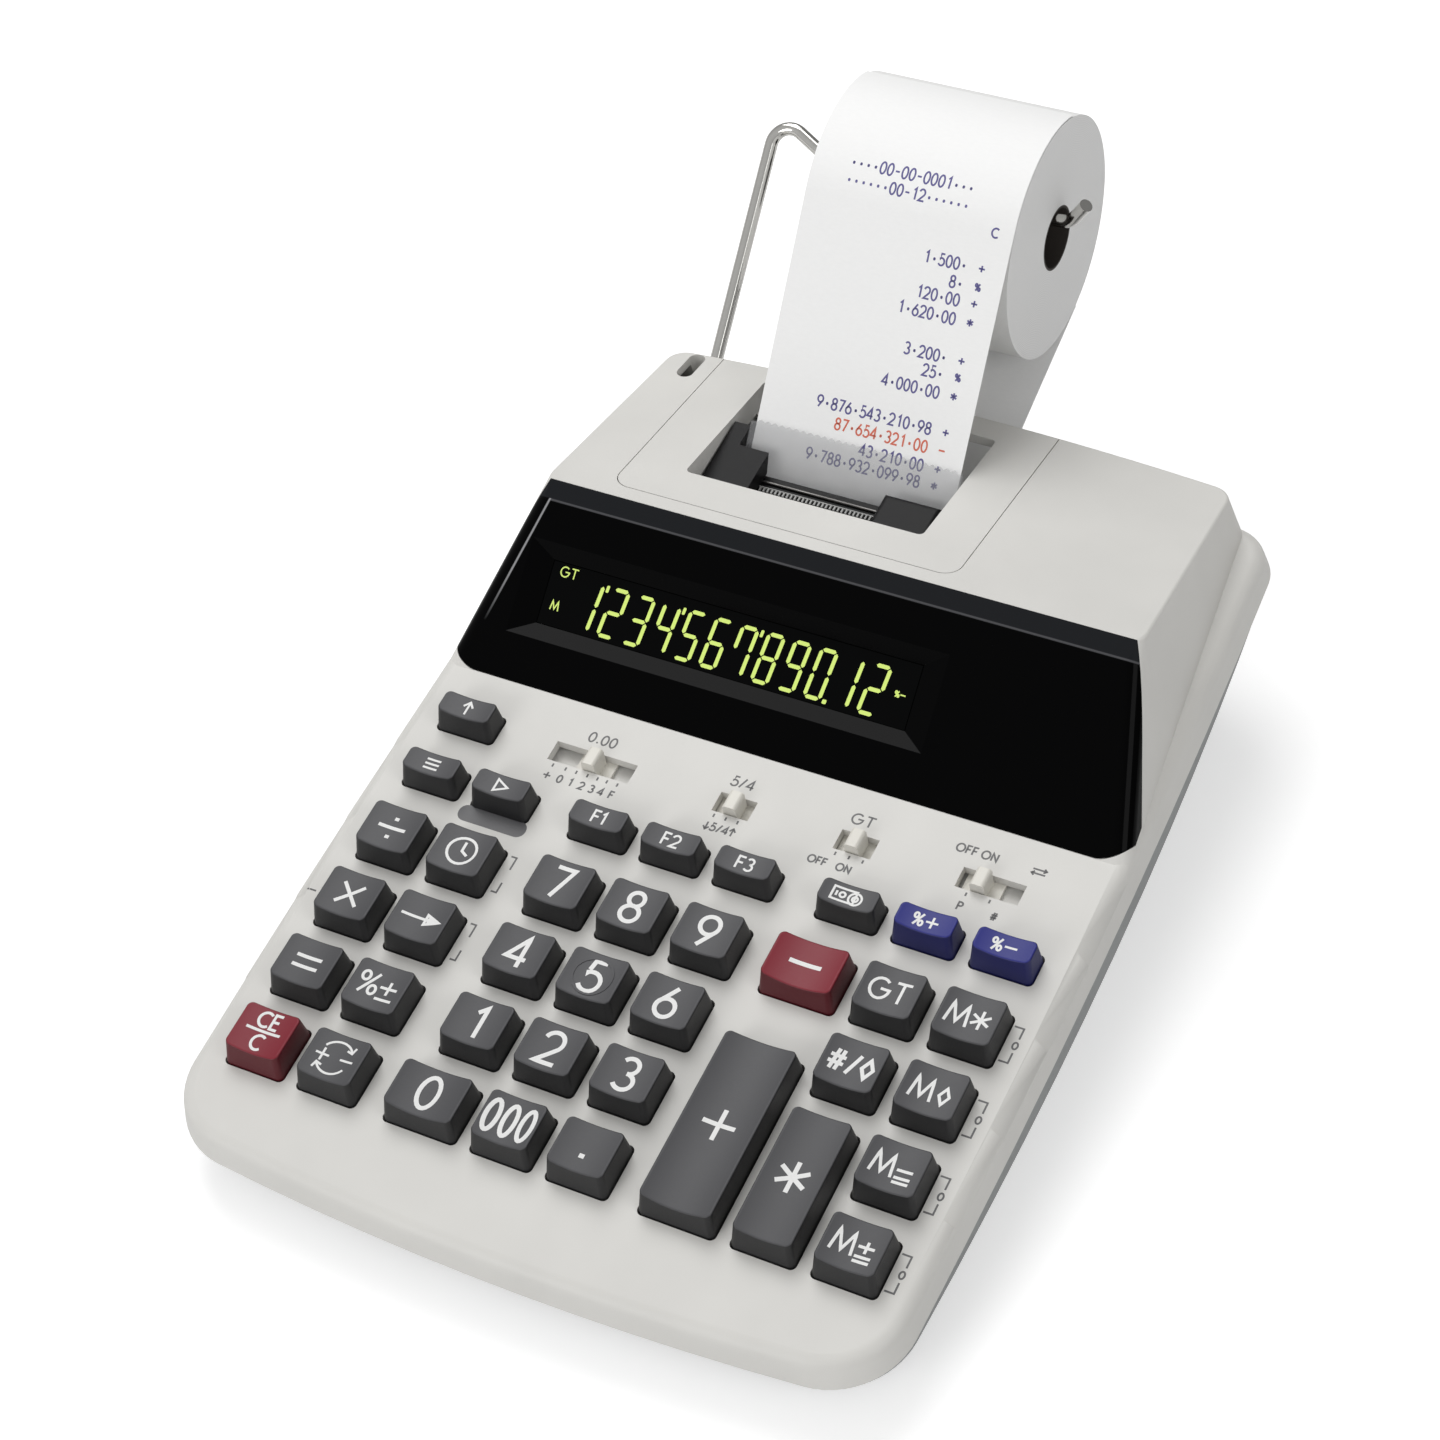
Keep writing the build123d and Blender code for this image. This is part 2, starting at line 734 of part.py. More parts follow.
def screw_seat(y):
    """Deck z of the face that a screw's head pulls against."""
    return max(height_in_deck(y, foot_height) + 2 * floor_thickness, boss_split_z - 2 * boss_radius)


def frame_pillars(inside):
    """Pillars on the floor that carry the printer's base plate."""
    pillars = []
    for x in (frame_left + boss_radius, frame_right - boss_radius):
        for y in (frame_front_y + boss_radius, frame_rear_y - boss_radius):
            low = height_in_deck(y, foot_height)
            pillars.append((deck * z_cylinder(boss_radius, x, y, low - boss_radius, frame_low_z)) & inside)
    return pillars


def foot_places():
    places = [(front_foot_x, front_foot_y), (rear_foot_x, rear_foot_y)]
    return [(side * x, y * cos_tilt + origin_shift) for x, y in places for side in (1, -1)]


def rubber_feet():
    feet = []
    for x, y in foot_places():
        pad = z_cylinder(foot_radius, x, y, 0, foot_height)
        pad = fillet(pad.edges().sort_by(Axis.Z)[:1], foot_height / 4)
        plug = z_cylinder(foot_plug_radius, x, y, foot_height, foot_height + foot_plug - foot_clearance)
        feet.append(pad + plug)
    return feet


def case_screws():
    screws = []
    for x, y, _ in screw_places():
        seat = screw_seat(y)
        head = z_cylinder(screw_head_radius, x, y, seat - screw_head_height, seat)
        shank = z_cylinder(screw_radius, x, y, seat, boss_split_z + screw_bite - screw_clearance)
        bottom = Pos(x, y, seat - screw_head_height + screw_cross_depth / 2)
        cross = bottom * Box(screw_cross_length, screw_cross_width, screw_cross_depth)
        slot = bottom * Box(screw_cross_width, screw_cross_length, screw_cross_depth)
        screws.append(deck * (head + shank - cross - slot))
    return screws


def inlet_place():
    """World y of the lower case's rear wall at the inlet's height, where its outer face lies."""
    low_y = rear_y
    for _ in range(8):
        deck_z = height_in_deck(low_y, inlet_z)
        below = max(0.0, -deck_z - skirt - band)
        bow = (rear_y - rear_corner_y) * (inlet_x / half_width_rear) ** 2
        low_y = rear_y - lower_end_inset - bow - below * tan(radians(hull_taper))
    return low_y * cos_tilt - height_in_deck(low_y, inlet_z) * sin_tilt + origin_shift


def inlet_box(margin):
    y = inlet_place()
    low = (inlet_x - inlet_width / 2 - margin, y - inlet_depth, inlet_z - inlet_height / 2 - margin)
    high = (inlet_x + inlet_width / 2 + margin, y + inlet_depth, inlet_z + inlet_height / 2 + margin)
    return low, high


def inlet_seat():
    """Thick frame around the inlet, flush with the rear wall's inner side."""
    low, high = inlet_box(wall)
    high = (high[0], inlet_place() + wall, high[2])
    return block(low, high) & hull(0, foot_height)


def inlet_hole():
    low, high = inlet_box(inlet_clearance)
    return block((low[0], low[1] - wall, low[2]), high)


def power_inlet():
    """Low-voltage socket in the rear wall."""
    y = inlet_place()
    low, high = inlet_box(0)
    body = block(low, (high[0], y, high[2]))
    flange_low = (low[0] - inlet_flange, low[1] - inlet_flange - wall / 2, low[2] - inlet_flange)
    flange_high = (high[0] + inlet_flange, low[1] - inlet_clearance, high[2] + inlet_flange)
    neck = block((low[0], flange_low[1], low[2]), (high[0], low[1], high[2]))
    body = body + neck + block(flange_low, flange_high)
    middle = (low[2] + high[2]) / 2
    along_y = Rot(90, 0, 0)
    bore = Pos(inlet_x, y, middle) * along_y * Cylinder(inlet_bore_radius, 2 * (inlet_depth - wall))
    return body - bore


def display_lens():
    lens = yz_prism(lens_profile(), -hood_reach, hood_reach) & lens_outline(0) & hood_block()
    return lens - window_cut()


def lcd_module():
    glass = glass_block(glass_clearance)
    border = glass_frame_border
    low = (window_left + window_bevel_x - border, window_low + window_bevel_y - border)
    high = (window_right - window_bevel_x + border, window_high - window_bevel_y + border)
    back = -window_depth - glass_depth
    frame = block((*low, back - glass_frame_thickness), (*high, back))
    return face_frame * (glass + frame)


def printer_cover():
    plate = cover_plate_prism(0, -wall, wall) & hood_block()
    width = mouth_right - mouth_left
    length = mouth_rear - mouth_front
    middle = Pos((mouth_left + mouth_right) / 2, (mouth_front + mouth_rear) / 2)
    mouth = extrude(middle * RectangleRounded(width, length, mouth_radius), 8 * wall, both=True)
    profile = [(mouth_front - chute_wall, -chute_drop), (mouth_rear, -chute_drop),
               (mouth_rear, -chute_rear_depth - chute_drop),
               (mouth_front - chute_wall, -chute_front_depth - chute_drop)]
    chute = hood_frame * yz_prism(profile, mouth_left - chute_wall, mouth_right + chute_wall)
    chute = chute & cover_plate_prism(0, -2 * chute_front_depth, -wall / 2)
    cover = plate + chute - (hood_frame * mouth)
    relief = block((mouth_left, mouth_rear, -4 * wall), (mouth_right, mouth_rear + wall, -wall))
    cover = cover - (hood_frame * relief)
    y, z = hinge_place()
    for outer_x, inward in ((hinge_left + hinge_gap, 1), (hinge_right - hinge_gap, -1)):
        inner_x = outer_x + inward * hinge_tab
        low_x, high_x = sorted((outer_x, inner_x))
        tab = x_cylinder(hinge_boss_radius, low_x, high_x, y, z)
        tab = tab + hood_frame * block((low_x, hinge_along - hinge_boss_radius, -hinge_depth),
                                       (high_x, hinge_along + hinge_boss_radius, -wall / 2))
        pin_end = outer_x - inward * (hinge_gap + hinge_post)
        low_pin, high_pin = sorted((pin_end, inner_x))
        cover = cover + tab + x_cylinder(hinge_pin_radius, low_pin, high_pin, y, z)
    return cover


def belt():
    """Straight runs and wraps of the paper between the platen and the roll, in deck y and z."""
    small = platen_radius + strip_gap + paper_thickness / 2
    large = roll_radius + strip_gap + paper_thickness / 2
    dy, dz = roll_y - platen_y, roll_z - platen_z
    centre_angle = atan2(dz, dy)
    spread = asin((large - small) / hypot(dy, dz))
    upper = centre_angle + spread
    lower = centre_angle - spread
    return small, large, upper, lower


def around(centre, radius, angle):
    return centre[0] + radius * cos(angle), centre[1] + radius * sin(angle)


def paper_strip():
    small, large, upper, lower = belt()
    platen = (platen_y, platen_z)
    roll = (roll_y, roll_z)
    quarter = radians(90)
    feed_start = around(roll, large, lower - quarter)
    under = around(platen, small, lower - quarter)
    front = around(platen, small, (upper + quarter + lower - quarter) / 2 + radians(180))
    leave = around(platen, small, upper + quarter)
    touch = around(roll, large, upper + quarter)
    end_angle = radians(strip_end_angle)
    crown = around(roll, large, (upper + quarter + end_angle) / 2)
    end = around(roll, large, end_angle)
    path = [Line(feed_start, under), ThreePointArc(under, front, leave), Line(leave, touch),
            ThreePointArc(touch, crown, end)]
    ribbon = trace(Curve() + path, paper_thickness)
    low_x = paper_centre_x - paper_width / 2
    return Pos(low_x, 0, 0) * extrude(Plane.YZ * ribbon, paper_width)


def paper_roll():
    low_x = paper_centre_x - paper_width / 2
    high_x = paper_centre_x + paper_width / 2
    return (x_cylinder(roll_radius, low_x, high_x, roll_y, roll_z)
            - x_cylinder(core_radius, low_x, high_x, roll_y, roll_z))


def paper_holder():
    y, z = rod_top()
    dy, dz = rod_direction()
    foot = (rod_x, socket_mouth_y - socket_depth * dy, socket_mouth_z - socket_depth * dz)
    corner = (rod_x, y + rod_rise * dy, z + rod_rise * dz)
    tip = (hook_start_x + hook_out, y, z + hook_up)
    path = FilletPolyline(foot, corner, (rod_entry_x, y, z), (hook_start_x, y, z), tip,
                          radius=[rod_bend, entry_bend, hook_bend])
    section = Plane(origin=path @ 0, z_dir=path % 0) * Circle(rod_radius)
    return sweep(section, path=path)


def platen_roller():
    low_x = frame_left + platen_end_gap
    high_x = frame_right - platen_end_gap
    roller = x_cylinder(platen_radius, low_x, high_x, platen_y, platen_z)
    shaft = x_cylinder(platen_shaft_radius, frame_left - frame_plate - motor_length / 2,
                       frame_right + frame_plate, platen_y, platen_z)
    return roller + shaft


def printer_frame():
    outline = [(frame_front_y, frame_low_z), (frame_rear_y, frame_low_z),
               (frame_rear_y, platen_z + platen_radius), (frame_rear_y - platen_radius, frame_top_z),
               (frame_front_y, frame_top_z)]
    left = yz_prism(outline, frame_left - frame_plate, frame_left)
    right = yz_prism(outline, frame_right, frame_right + frame_plate)
    base = block((frame_left - frame_plate, frame_front_y, frame_low_z),
                 (frame_right + frame_plate, frame_rear_y, frame_low_z + frame_plate))
    inside = frame_plate / 2
    guide = x_cylinder(guide_radius, frame_left - inside, frame_right + inside, guide_y, guide_z)
    end_block = block((frame_left, carriage_front_y, carriage_low_z),
                      (frame_left + end_block_width, carriage_rear_y, carriage_high_z))
    bores = x_cylinder(platen_shaft_radius + bearing_clearance, frame_left - 2 * frame_plate,
                       frame_right + 2 * frame_plate, platen_y, platen_z)
    return left + right + base + end_block + guide_rail() + raised_block() - bores + guide


def rail_rear_y(z):
    """Deck y of the rail's rear face, which follows the tear bar."""
    small, _, upper, _ = belt()
    leave = around((platen_y, platen_z), small, upper + radians(90))
    off = paper_thickness / 2 + tear_gap + tear_thickness + rail_gap
    return leave[0] + ((z - leave[1]) * cos(upper) - off) / sin(upper)


def guide_rail():
    """Bar across the printer, just in front of the tear bar."""
    low = rail_top_z - rail_thickness
    profile = [(rail_front_y, low), (rail_rear_y(low), low), (rail_rear_y(rail_top_z), rail_top_z),
               (rail_front_y, rail_top_z)]
    return yz_prism(profile, frame_left, frame_right)


def raised_block():
    """Stepped block at the left end, beside and in front of the paper."""
    low = carriage_high_z - chute_drop
    slope_y = min(rail_rear_y(low), cheek_step_rear_y)
    cheek = block((cheek_left, cheek_front_y, low), (cheek_right, cheek_rear_y, cheek_top_z))
    step = yz_prism([(cheek_front_y, low), (slope_y, low), (cheek_step_rear_y, cheek_top_z),
                     (cheek_front_y, cheek_top_z)], cheek_left, cheek_step_right)
    return cheek + step


def print_carriage():
    low_x = carriage_right - carriage_width
    high_x = carriage_right
    body = block((low_x, carriage_front_y, carriage_low_z), (high_x, carriage_rear_y, carriage_high_z))
    overlap = carriage_high_z - ink_overhang
    head_low = rail_top_z + carriage_gap
    profile = [(carriage_head_front_y, overlap), (carriage_rear_y, overlap), (carriage_rear_y, head_low),
               (carriage_head_rear_y, head_low), (carriage_head_rear_y, carriage_head_top_z),
               (carriage_head_front_y, carriage_head_top_z)]
    head = yz_prism(profile, low_x, high_x)
    head = fillet(head.faces().sort_by(Axis.Z)[-1].edges(), carriage_head_radius)
    ink_left = low_x - ink_overhang
    ink_right = high_x + ink_overhang
    ink_y = carriage_front_y + ink_radius
    ink = x_cylinder(ink_radius, ink_left, ink_right, ink_y, carriage_high_z - ink_radius)
    bore = x_cylinder(guide_radius + bearing_clearance, ink_left, ink_right, guide_y, guide_z)
    upper_half = block((ink_left, carriage_front_y, guide_z + 2 * guide_radius),
                       (ink_right, carriage_rear_y, carriage_high_z))
    return body + head + (ink & upper_half) - bore


def feed_motor():
    face_x = frame_left - frame_plate
    flange = x_cylinder(motor_flange_radius, face_x - motor_flange, face_x, platen_y, platen_z)
    can = x_cylinder(motor_radius, face_x - motor_length, face_x - motor_flange, platen_y, platen_z)
    bore_radius = platen_shaft_radius + bearing_clearance
    bore = x_cylinder(bore_radius, face_x - motor_length / 2, face_x, platen_y, platen_z)
    return flange + can - bore


def tear_bar():
    """Clear toothed plate in front of the paper, on lugs that reach the printer's side plates."""
    small, _, upper, _ = belt()
    leave = around((platen_y, platen_z), small, upper + radians(90))
    slope = degrees(upper)
    plane = Pos(0, *leave) * Rot(slope, 0, 0)
    front = paper_thickness / 2 + tear_gap
    crest_line = hood_crossing(leave, upper)
    low = crest_line - tear_below
    high = crest_line + tear_above
    left = paper_centre_x - tear_half
    right = paper_centre_x + tear_half
    root = high - tooth_height
    count = int((right - left) / tooth_pitch) - 1
    start = (left + right + count * tooth_pitch) / 2
    outline = [(frame_right, low), (frame_right, low + tear_lug), (right, low + tear_lug), (right, root)]
    for i in range(count):
        outline.append((start - i * tooth_pitch, root))
        outline.append((start - (i + 0.5) * tooth_pitch, high))
    outline += [(start - count * tooth_pitch, root), (left, root), (left, low + tear_lug)]
    outline += [(frame_left, low + tear_lug), (frame_left, low)]
    return plane * Pos(0, 0, front) * extrude(make_face(Polyline(*outline, close=True)), tear_thickness)


def hood_crossing(start, angle):
    """Distance along the paper from a place on it to the hood's surface."""
    fall = -tan(radians(hood_fall))
    return (crest_z + (start[0] - crest_y) * fall - start[1]) / (sin(angle) - cos(angle) * fall)


def key_membrane():
    top = board_top_z + sheet_thickness
    low = (-board_half + sheet_border, board_front_y + sheet_border, board_top_z)
    high = (board_half - sheet_border, board_rear_y - sheet_border, top)
    sheet = block(low, high)
    domes = []
    for _, left, front, width, depth in key_table():
        x, y = key_middle(left, front, width, depth)
        middle = y + (key_front_inset - key_back_inset) / 2
        domes.append(z_cylinder(dome_radius, x, middle, top, dome_top()))
    margin = switch_body_reach + switch_body_clearance
    cutouts = [block((a - margin, slot_low_y - margin, board_top_z), (b + margin, slot_high_y + margin, top))
               for _, (a, b), _ in slot_list()]
    return sheet + domes - cutouts


def main_board():
    low = (-board_half, board_front_y, board_top_z - board_thickness)
    board = block(low, (board_half, board_rear_y, board_top_z))
    top = -deck_thickness - slider_gap - slider_thickness - switch_body_gap
    reach = switch_body_reach
    bodies = [block((a - reach, slot_low_y - reach, board_top_z), (b + reach, slot_high_y + reach, top))
              for _, (a, b), _ in slot_list()]
    return board + bodies


def switch_knob(rest):
    """A knob on the slider that keeps it under the deck."""
    top = -deck_thickness - slider_gap
    half = knob_width / 2 + slider_reach
    slider = block((rest - half, slot_low_y - slider_margin, top - slider_thickness),
                   (rest + half, slot_high_y + slider_margin, top))
    grip = block((rest - knob_width / 2, slot_low_y + knob_clearance, top - slider_thickness),
                 (rest + knob_width / 2, slot_high_y - knob_clearance, knob_height))
    grip = fillet(grip.edges().filter_by(Axis.Y).sort_by(Axis.Z)[-2:], knob_width / 4)
    return slider + grip


def save(name, solid):
    pieces = solid if isinstance(solid, list) else [solid]
    solids = [s for piece in pieces for s in piece.solids()]
    shape = solids[0] if len(solids) == 1 else Compound(children=solids)
    export_step(shape, f"parts/{name}.step")


def main():
    save("upper_case", deck * upper_case())
    save("lower_case", lower_case())
    save("display_lens", deck * display_lens())
    save("lcd_module", deck * lcd_module())
    save("printer_cover", deck * printer_cover())
    save("tear_bar", deck * tear_bar())
    save("paper_roll", deck * paper_roll())
    save("paper_strip", deck * paper_strip())
    save("paper_holder", deck * paper_holder())
    save("printer_frame", deck * printer_frame())
    save("platen_roller", deck * platen_roller())
    save("print_carriage", deck * print_carriage())
    save("feed_motor", deck * feed_motor())
    save("key_membrane", deck * key_membrane())
    save("main_board", deck * main_board())
    save("rubber_feet", rubber_feet())
    save("case_screws", case_screws())
    save("power_inlet", power_inlet())
    for name, _, rest in slot_list():
        save(f"switch_{name}", deck * switch_knob(rest))
    shapes = {}
    for name, left, front, width, depth in key_table():
        size = (width, depth)
        if size not in shapes:
            shapes[size] = key_cap(width, depth)
        x, y = key_middle(left, front, width, depth)
        save(f"key_{name}", deck * Pos(x, y, 0) * shapes[size])


main()
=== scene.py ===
import json
from math import cos, hypot, pi, radians, sin

import bpy
from mathutils import Matrix, Vector


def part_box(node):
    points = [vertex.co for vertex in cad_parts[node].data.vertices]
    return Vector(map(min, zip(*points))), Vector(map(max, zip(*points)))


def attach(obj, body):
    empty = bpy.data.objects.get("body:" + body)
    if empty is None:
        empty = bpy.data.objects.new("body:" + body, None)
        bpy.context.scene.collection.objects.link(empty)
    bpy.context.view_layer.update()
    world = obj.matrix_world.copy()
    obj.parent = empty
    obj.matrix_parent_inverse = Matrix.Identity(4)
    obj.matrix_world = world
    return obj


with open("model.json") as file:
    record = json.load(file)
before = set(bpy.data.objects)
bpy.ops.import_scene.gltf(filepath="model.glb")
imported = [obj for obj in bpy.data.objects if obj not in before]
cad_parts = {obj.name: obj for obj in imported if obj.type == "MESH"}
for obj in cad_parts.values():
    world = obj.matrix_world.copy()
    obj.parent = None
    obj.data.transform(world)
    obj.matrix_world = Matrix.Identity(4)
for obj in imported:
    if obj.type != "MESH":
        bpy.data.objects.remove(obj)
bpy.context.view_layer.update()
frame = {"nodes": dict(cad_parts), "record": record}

mm = 0.001
nodes = frame["nodes"]
print("frame loaded,", len(nodes), "nodes")

# sloped frames for prints and small pieces: x right, y up the slope, z out of the surface
deck = {"tilt": 7.0, "y": -76.265, "z": 30.542}
face = {"y": 60.8, "slope": 32.88}                               # display face on the deck
paper = {"x": -14.2, "y": 127.78, "z": -1.434, "slope": 44.71}   # free run of the paper on the deck


def slopedFrame(x, y, z, slope):
    return Matrix.Translation((x * mm, y * mm, z * mm)) @ Matrix.Rotation(radians(slope), 4, "X")


deckFrame = slopedFrame(0, deck["y"], deck["z"], deck["tilt"])
faceFrame = deckFrame @ slopedFrame(0, face["y"], 0, face["slope"])
paperFrame = deckFrame @ slopedFrame(paper["x"], paper["y"], paper["z"], paper["slope"])


def onDeck(x, y):
    return deckFrame @ Matrix.Translation((x * mm, y * mm, 0))


# finishes
def newFinish(name, colour, roughness, metallic=0.0):
    finish = bpy.data.materials.new(name)
    finish.use_nodes = True
    shader = finish.node_tree.nodes["Principled BSDF"]
    shader.inputs["Base Color"].default_value = (*colour, 1)
    shader.inputs["Roughness"].default_value = roughness
    shader.inputs["Metallic"].default_value = metallic
    return finish, shader


def addNode(finish, kind, **values):
    node = finish.node_tree.nodes.new(kind)
    for key, value in values.items():
        socket = key.replace("_", " ")
        if socket in node.inputs:
            node.inputs[socket].default_value = value
        else:
            setattr(node, key, value)
    return node


def wire(finish, source, target):
    finish.node_tree.links.new(source, target)


def placeOf(finish):
    return addNode(finish, "ShaderNodeTexCoord").outputs["Object"]


def noiseOf(finish, grain, detail=2.0, stretch=(1, 1, 1)):
    spread = addNode(finish, "ShaderNodeMapping", Scale=stretch)
    noise = addNode(finish, "ShaderNodeTexNoise", Scale=1 / (grain * mm), Detail=detail)
    wire(finish, placeOf(finish), spread.inputs["Vector"])
    wire(finish, spread.outputs["Vector"], noise.inputs["Vector"])
    return noise.outputs["Fac"]


def mixColours(finish, factor, first, second):
    mix = addNode(finish, "ShaderNodeMix", data_type="RGBA")
    wire(finish, factor, mix.inputs["Factor"])
    for socket, colour in ((mix.inputs[6], first), (mix.inputs[7], second)):
        if isinstance(colour, tuple):
            socket.default_value = (*colour, 1)
        else:
            wire(finish, colour, socket)
    return mix.outputs[2]


def rangeOf(finish, factor, low, high, start=0.3, end=0.7):
    span = addNode(finish, "ShaderNodeMapRange", From_Min=start, From_Max=end, To_Min=low, To_Max=high)
    wire(finish, factor, span.inputs["Value"])
    return span.outputs["Result"]


def roughen(finish, shader, grain, depth, strength, rough, spread):
    fine = noiseOf(finish, grain, 3.0)
    bump = addNode(finish, "ShaderNodeBump", Strength=strength, Distance=depth * mm)
    wire(finish, fine, bump.inputs["Height"])
    wire(finish, bump.outputs["Normal"], shader.inputs["Normal"])
    wire(finish, rangeOf(finish, fine, rough - spread, rough + spread), shader.inputs["Roughness"])


def shade(colour, share):
    return tuple(min(1.0, c * share) for c in colour)


moulded = {"cloudGrain": 22.0, "cloud": 0.025, "roughSpread": 0.05}


# moulded plastic: spark-eroded grain, and a faint cloud in the colour
def mouldedPlastic(name, colour, rough, grain=0.35, depth=0.02, strength=0.35, gloss=0.5):
    finish, shader = newFinish(name, colour, rough)
    shader.inputs["Specular IOR Level"].default_value = gloss
    cloud = moulded["cloud"]
    patchy = rangeOf(finish, noiseOf(finish, moulded["cloudGrain"]), 0, 1)
    clouded = mixColours(finish, patchy, shade(colour, 1 - cloud), shade(colour, 1 + cloud))
    wire(finish, clouded, shader.inputs["Base Color"])
    roughen(finish, shader, grain, depth, strength, rough, moulded["roughSpread"])
    return finish


# share of a surface that faces one way: 0 below the first cosine, 1 above the second
def facingOf(finish, way, start, end):
    geometry = addNode(finish, "ShaderNodeNewGeometry")
    facing = addNode(finish, "ShaderNodeVectorMath", operation="DOT_PRODUCT")
    facing.inputs[1].default_value = way
    wire(finish, geometry.outputs["Normal"], facing.inputs[0])
    return rangeOf(finish, facing.outputs["Value"], 0, 1, start, end)


# distance of a place from a plane, in metres
def heightOf(finish, origin, way):
    offset = addNode(finish, "ShaderNodeVectorMath", operation="SUBTRACT")
    offset.inputs[1].default_value = origin
    wire(finish, placeOf(finish), offset.inputs[0])
    height = addNode(finish, "ShaderNodeVectorMath", operation="DOT_PRODUCT")
    height.inputs[1].default_value = way
    wire(finish, offset.outputs["Vector"], height.inputs[0])
    return height.outputs["Value"]


def axisOf(place, index):
    return place.to_3x3().col[index].normalized()


keySkin = {"rough": 0.46, "grain": 0.28, "strength": 0.4, "gloss": 0.4, "topFacing": (0.55, 0.93)}


# keys: a satin top, and sides darker as painted shade, chosen by which way the surface faces
def keyPlastic(name, colour, sideShadeShare):
    finish = mouldedPlastic(name, colour, keySkin["rough"], grain=keySkin["grain"],
                            strength=keySkin["strength"], gloss=keySkin["gloss"])
    shader = finish.node_tree.nodes["Principled BSDF"]
    # surfaces that do not face up from the deck get a darker colour: painted shade
    onTop = facingOf(finish, axisOf(deckFrame, 2), *keySkin["topFacing"])
    top = shader.inputs["Base Color"].links[0].from_socket
    wire(finish, mixColours(finish, onTop, shade(colour, sideShadeShare), top), shader.inputs["Base Color"])
    return finish


glass = {"colour": (0.0012, 0.0013, 0.0014), "rough": 0.12, "roughGrain": 9.0, "gloss": 0.05,
         "cloud": 1.3, "cloudGrain": 30.0}


# polished dark glass behind the window
def glassFinish():
    finish, shader = newFinish("displayGlass", glass["colour"], glass["rough"])
    shader.inputs["Specular IOR Level"].default_value = glass["gloss"]
    patchy = noiseOf(finish, glass["roughGrain"])
    rough = rangeOf(finish, patchy, glass["rough"] * 0.7, glass["rough"] * 1.4)
    wire(finish, rough, shader.inputs["Roughness"])
    cloud = rangeOf(finish, noiseOf(finish, glass["cloudGrain"]), 0, 1)
    clouded = mixColours(finish, cloud, glass["colour"], shade(glass["colour"], glass["cloud"]))
    wire(finish, clouded, shader.inputs["Base Color"])
    return finish


# the left painted highlight starts at a corner of the face and leans outwards as it goes down
lens = {"black": (0.0006, 0.0006, 0.0007), "rough": 0.08, "gloss": 0.05,
        "strip": (0.014, 0.015, 0.017), "stripFrom": 46.4, "stripRough": 0.35,
        # the pale line colour is a painted highlight along the strip's lower edge, and the left-end colour
        # is a painted highlight too
        "line": (0.075, 0.075, 0.08), "highlightWidth": 0.5,
        "leftHighlight": (0.30, 0.30, 0.31), "leftFrom": 0.1, "leftFade": (13.0, 27.0),
        "leftCorner": (-77.5, 46.6, 0), "leftLean": 0.239}


# 0 before a distance in millimetres and 1 after it
def stepAt(finish, distance, start):
    return rangeOf(finish, distance, 0, 1, (start - 0.1) * mm, (start + 0.1) * mm)


# polished black, with a satin strip along the top edge, a painted highlight as a pale line below the strip,
# and a painted highlight at the left end
def lensFinish():
    finish, shader = newFinish("lensBlack", lens["black"], lens["rough"])
    shader.inputs["Specular IOR Level"].default_value = lens["gloss"]
    right, up = axisOf(faceFrame, 0), axisOf(faceFrame, 1)
    upFace = heightOf(finish, faceFrame.translation, up)
    corner = faceFrame @ (Vector(lens["leftCorner"]) * mm)
    inwards = heightOf(finish, corner, (right - lens["leftLean"] * up).normalized())
    fromHighlight = stepAt(finish, upFace, lens["stripFrom"])
    onStrip = stepAt(finish, upFace, lens["stripFrom"] + lens["highlightWidth"])
    inside = stepAt(finish, inwards, lens["leftFrom"])
    past = stepAt(finish, inwards, lens["leftFrom"] + lens["highlightWidth"])
    fade = rangeOf(finish, upFace, 0, 1, lens["leftFade"][0] * mm, lens["leftFade"][1] * mm)
    rough = rangeOf(finish, fromHighlight, lens["rough"], lens["stripRough"], 0, 1)
    wire(finish, rough, shader.inputs["Roughness"])
    # pale colour at the left end, fading out lower down: a painted highlight on the rounded corner
    leftHighlight = mixColours(finish, fade, lens["black"], lens["leftHighlight"])
    middle = mixColours(finish, fromHighlight, lens["black"], lens["line"])
    below = mixColours(finish, inside, lens["black"], mixColours(finish, past, leftHighlight, middle))
    wire(finish, mixColours(finish, onStrip, below, lens["strip"]), shader.inputs["Base Color"])
    return finish


# matt paper with fibres across its width
def paperFinish(name, colour):
    finish, shader = newFinish(name, colour, 0.8)
    fibres = noiseOf(finish, 0.6, 4.0, (0.4, 1, 1))
    mottled = mixColours(finish, fibres, shade(colour, 0.97), shade(colour, 1.02))
    wire(finish, mottled, shader.inputs["Base Color"])
    roughen(finish, shader, grain=0.25, depth=0.01, strength=0.25, rough=0.8, spread=0.06)
    return finish, shader


roll = {"outside": (0.86, 0.86, 0.85), "edge": (0.88, 0.88, 0.87), "gap": (0.76, 0.76, 0.76), "layer": 0.45,
        "unevenGrain": 2.5, "core": (0.030, 0.024, 0.020), "coreRadius": 8.4}
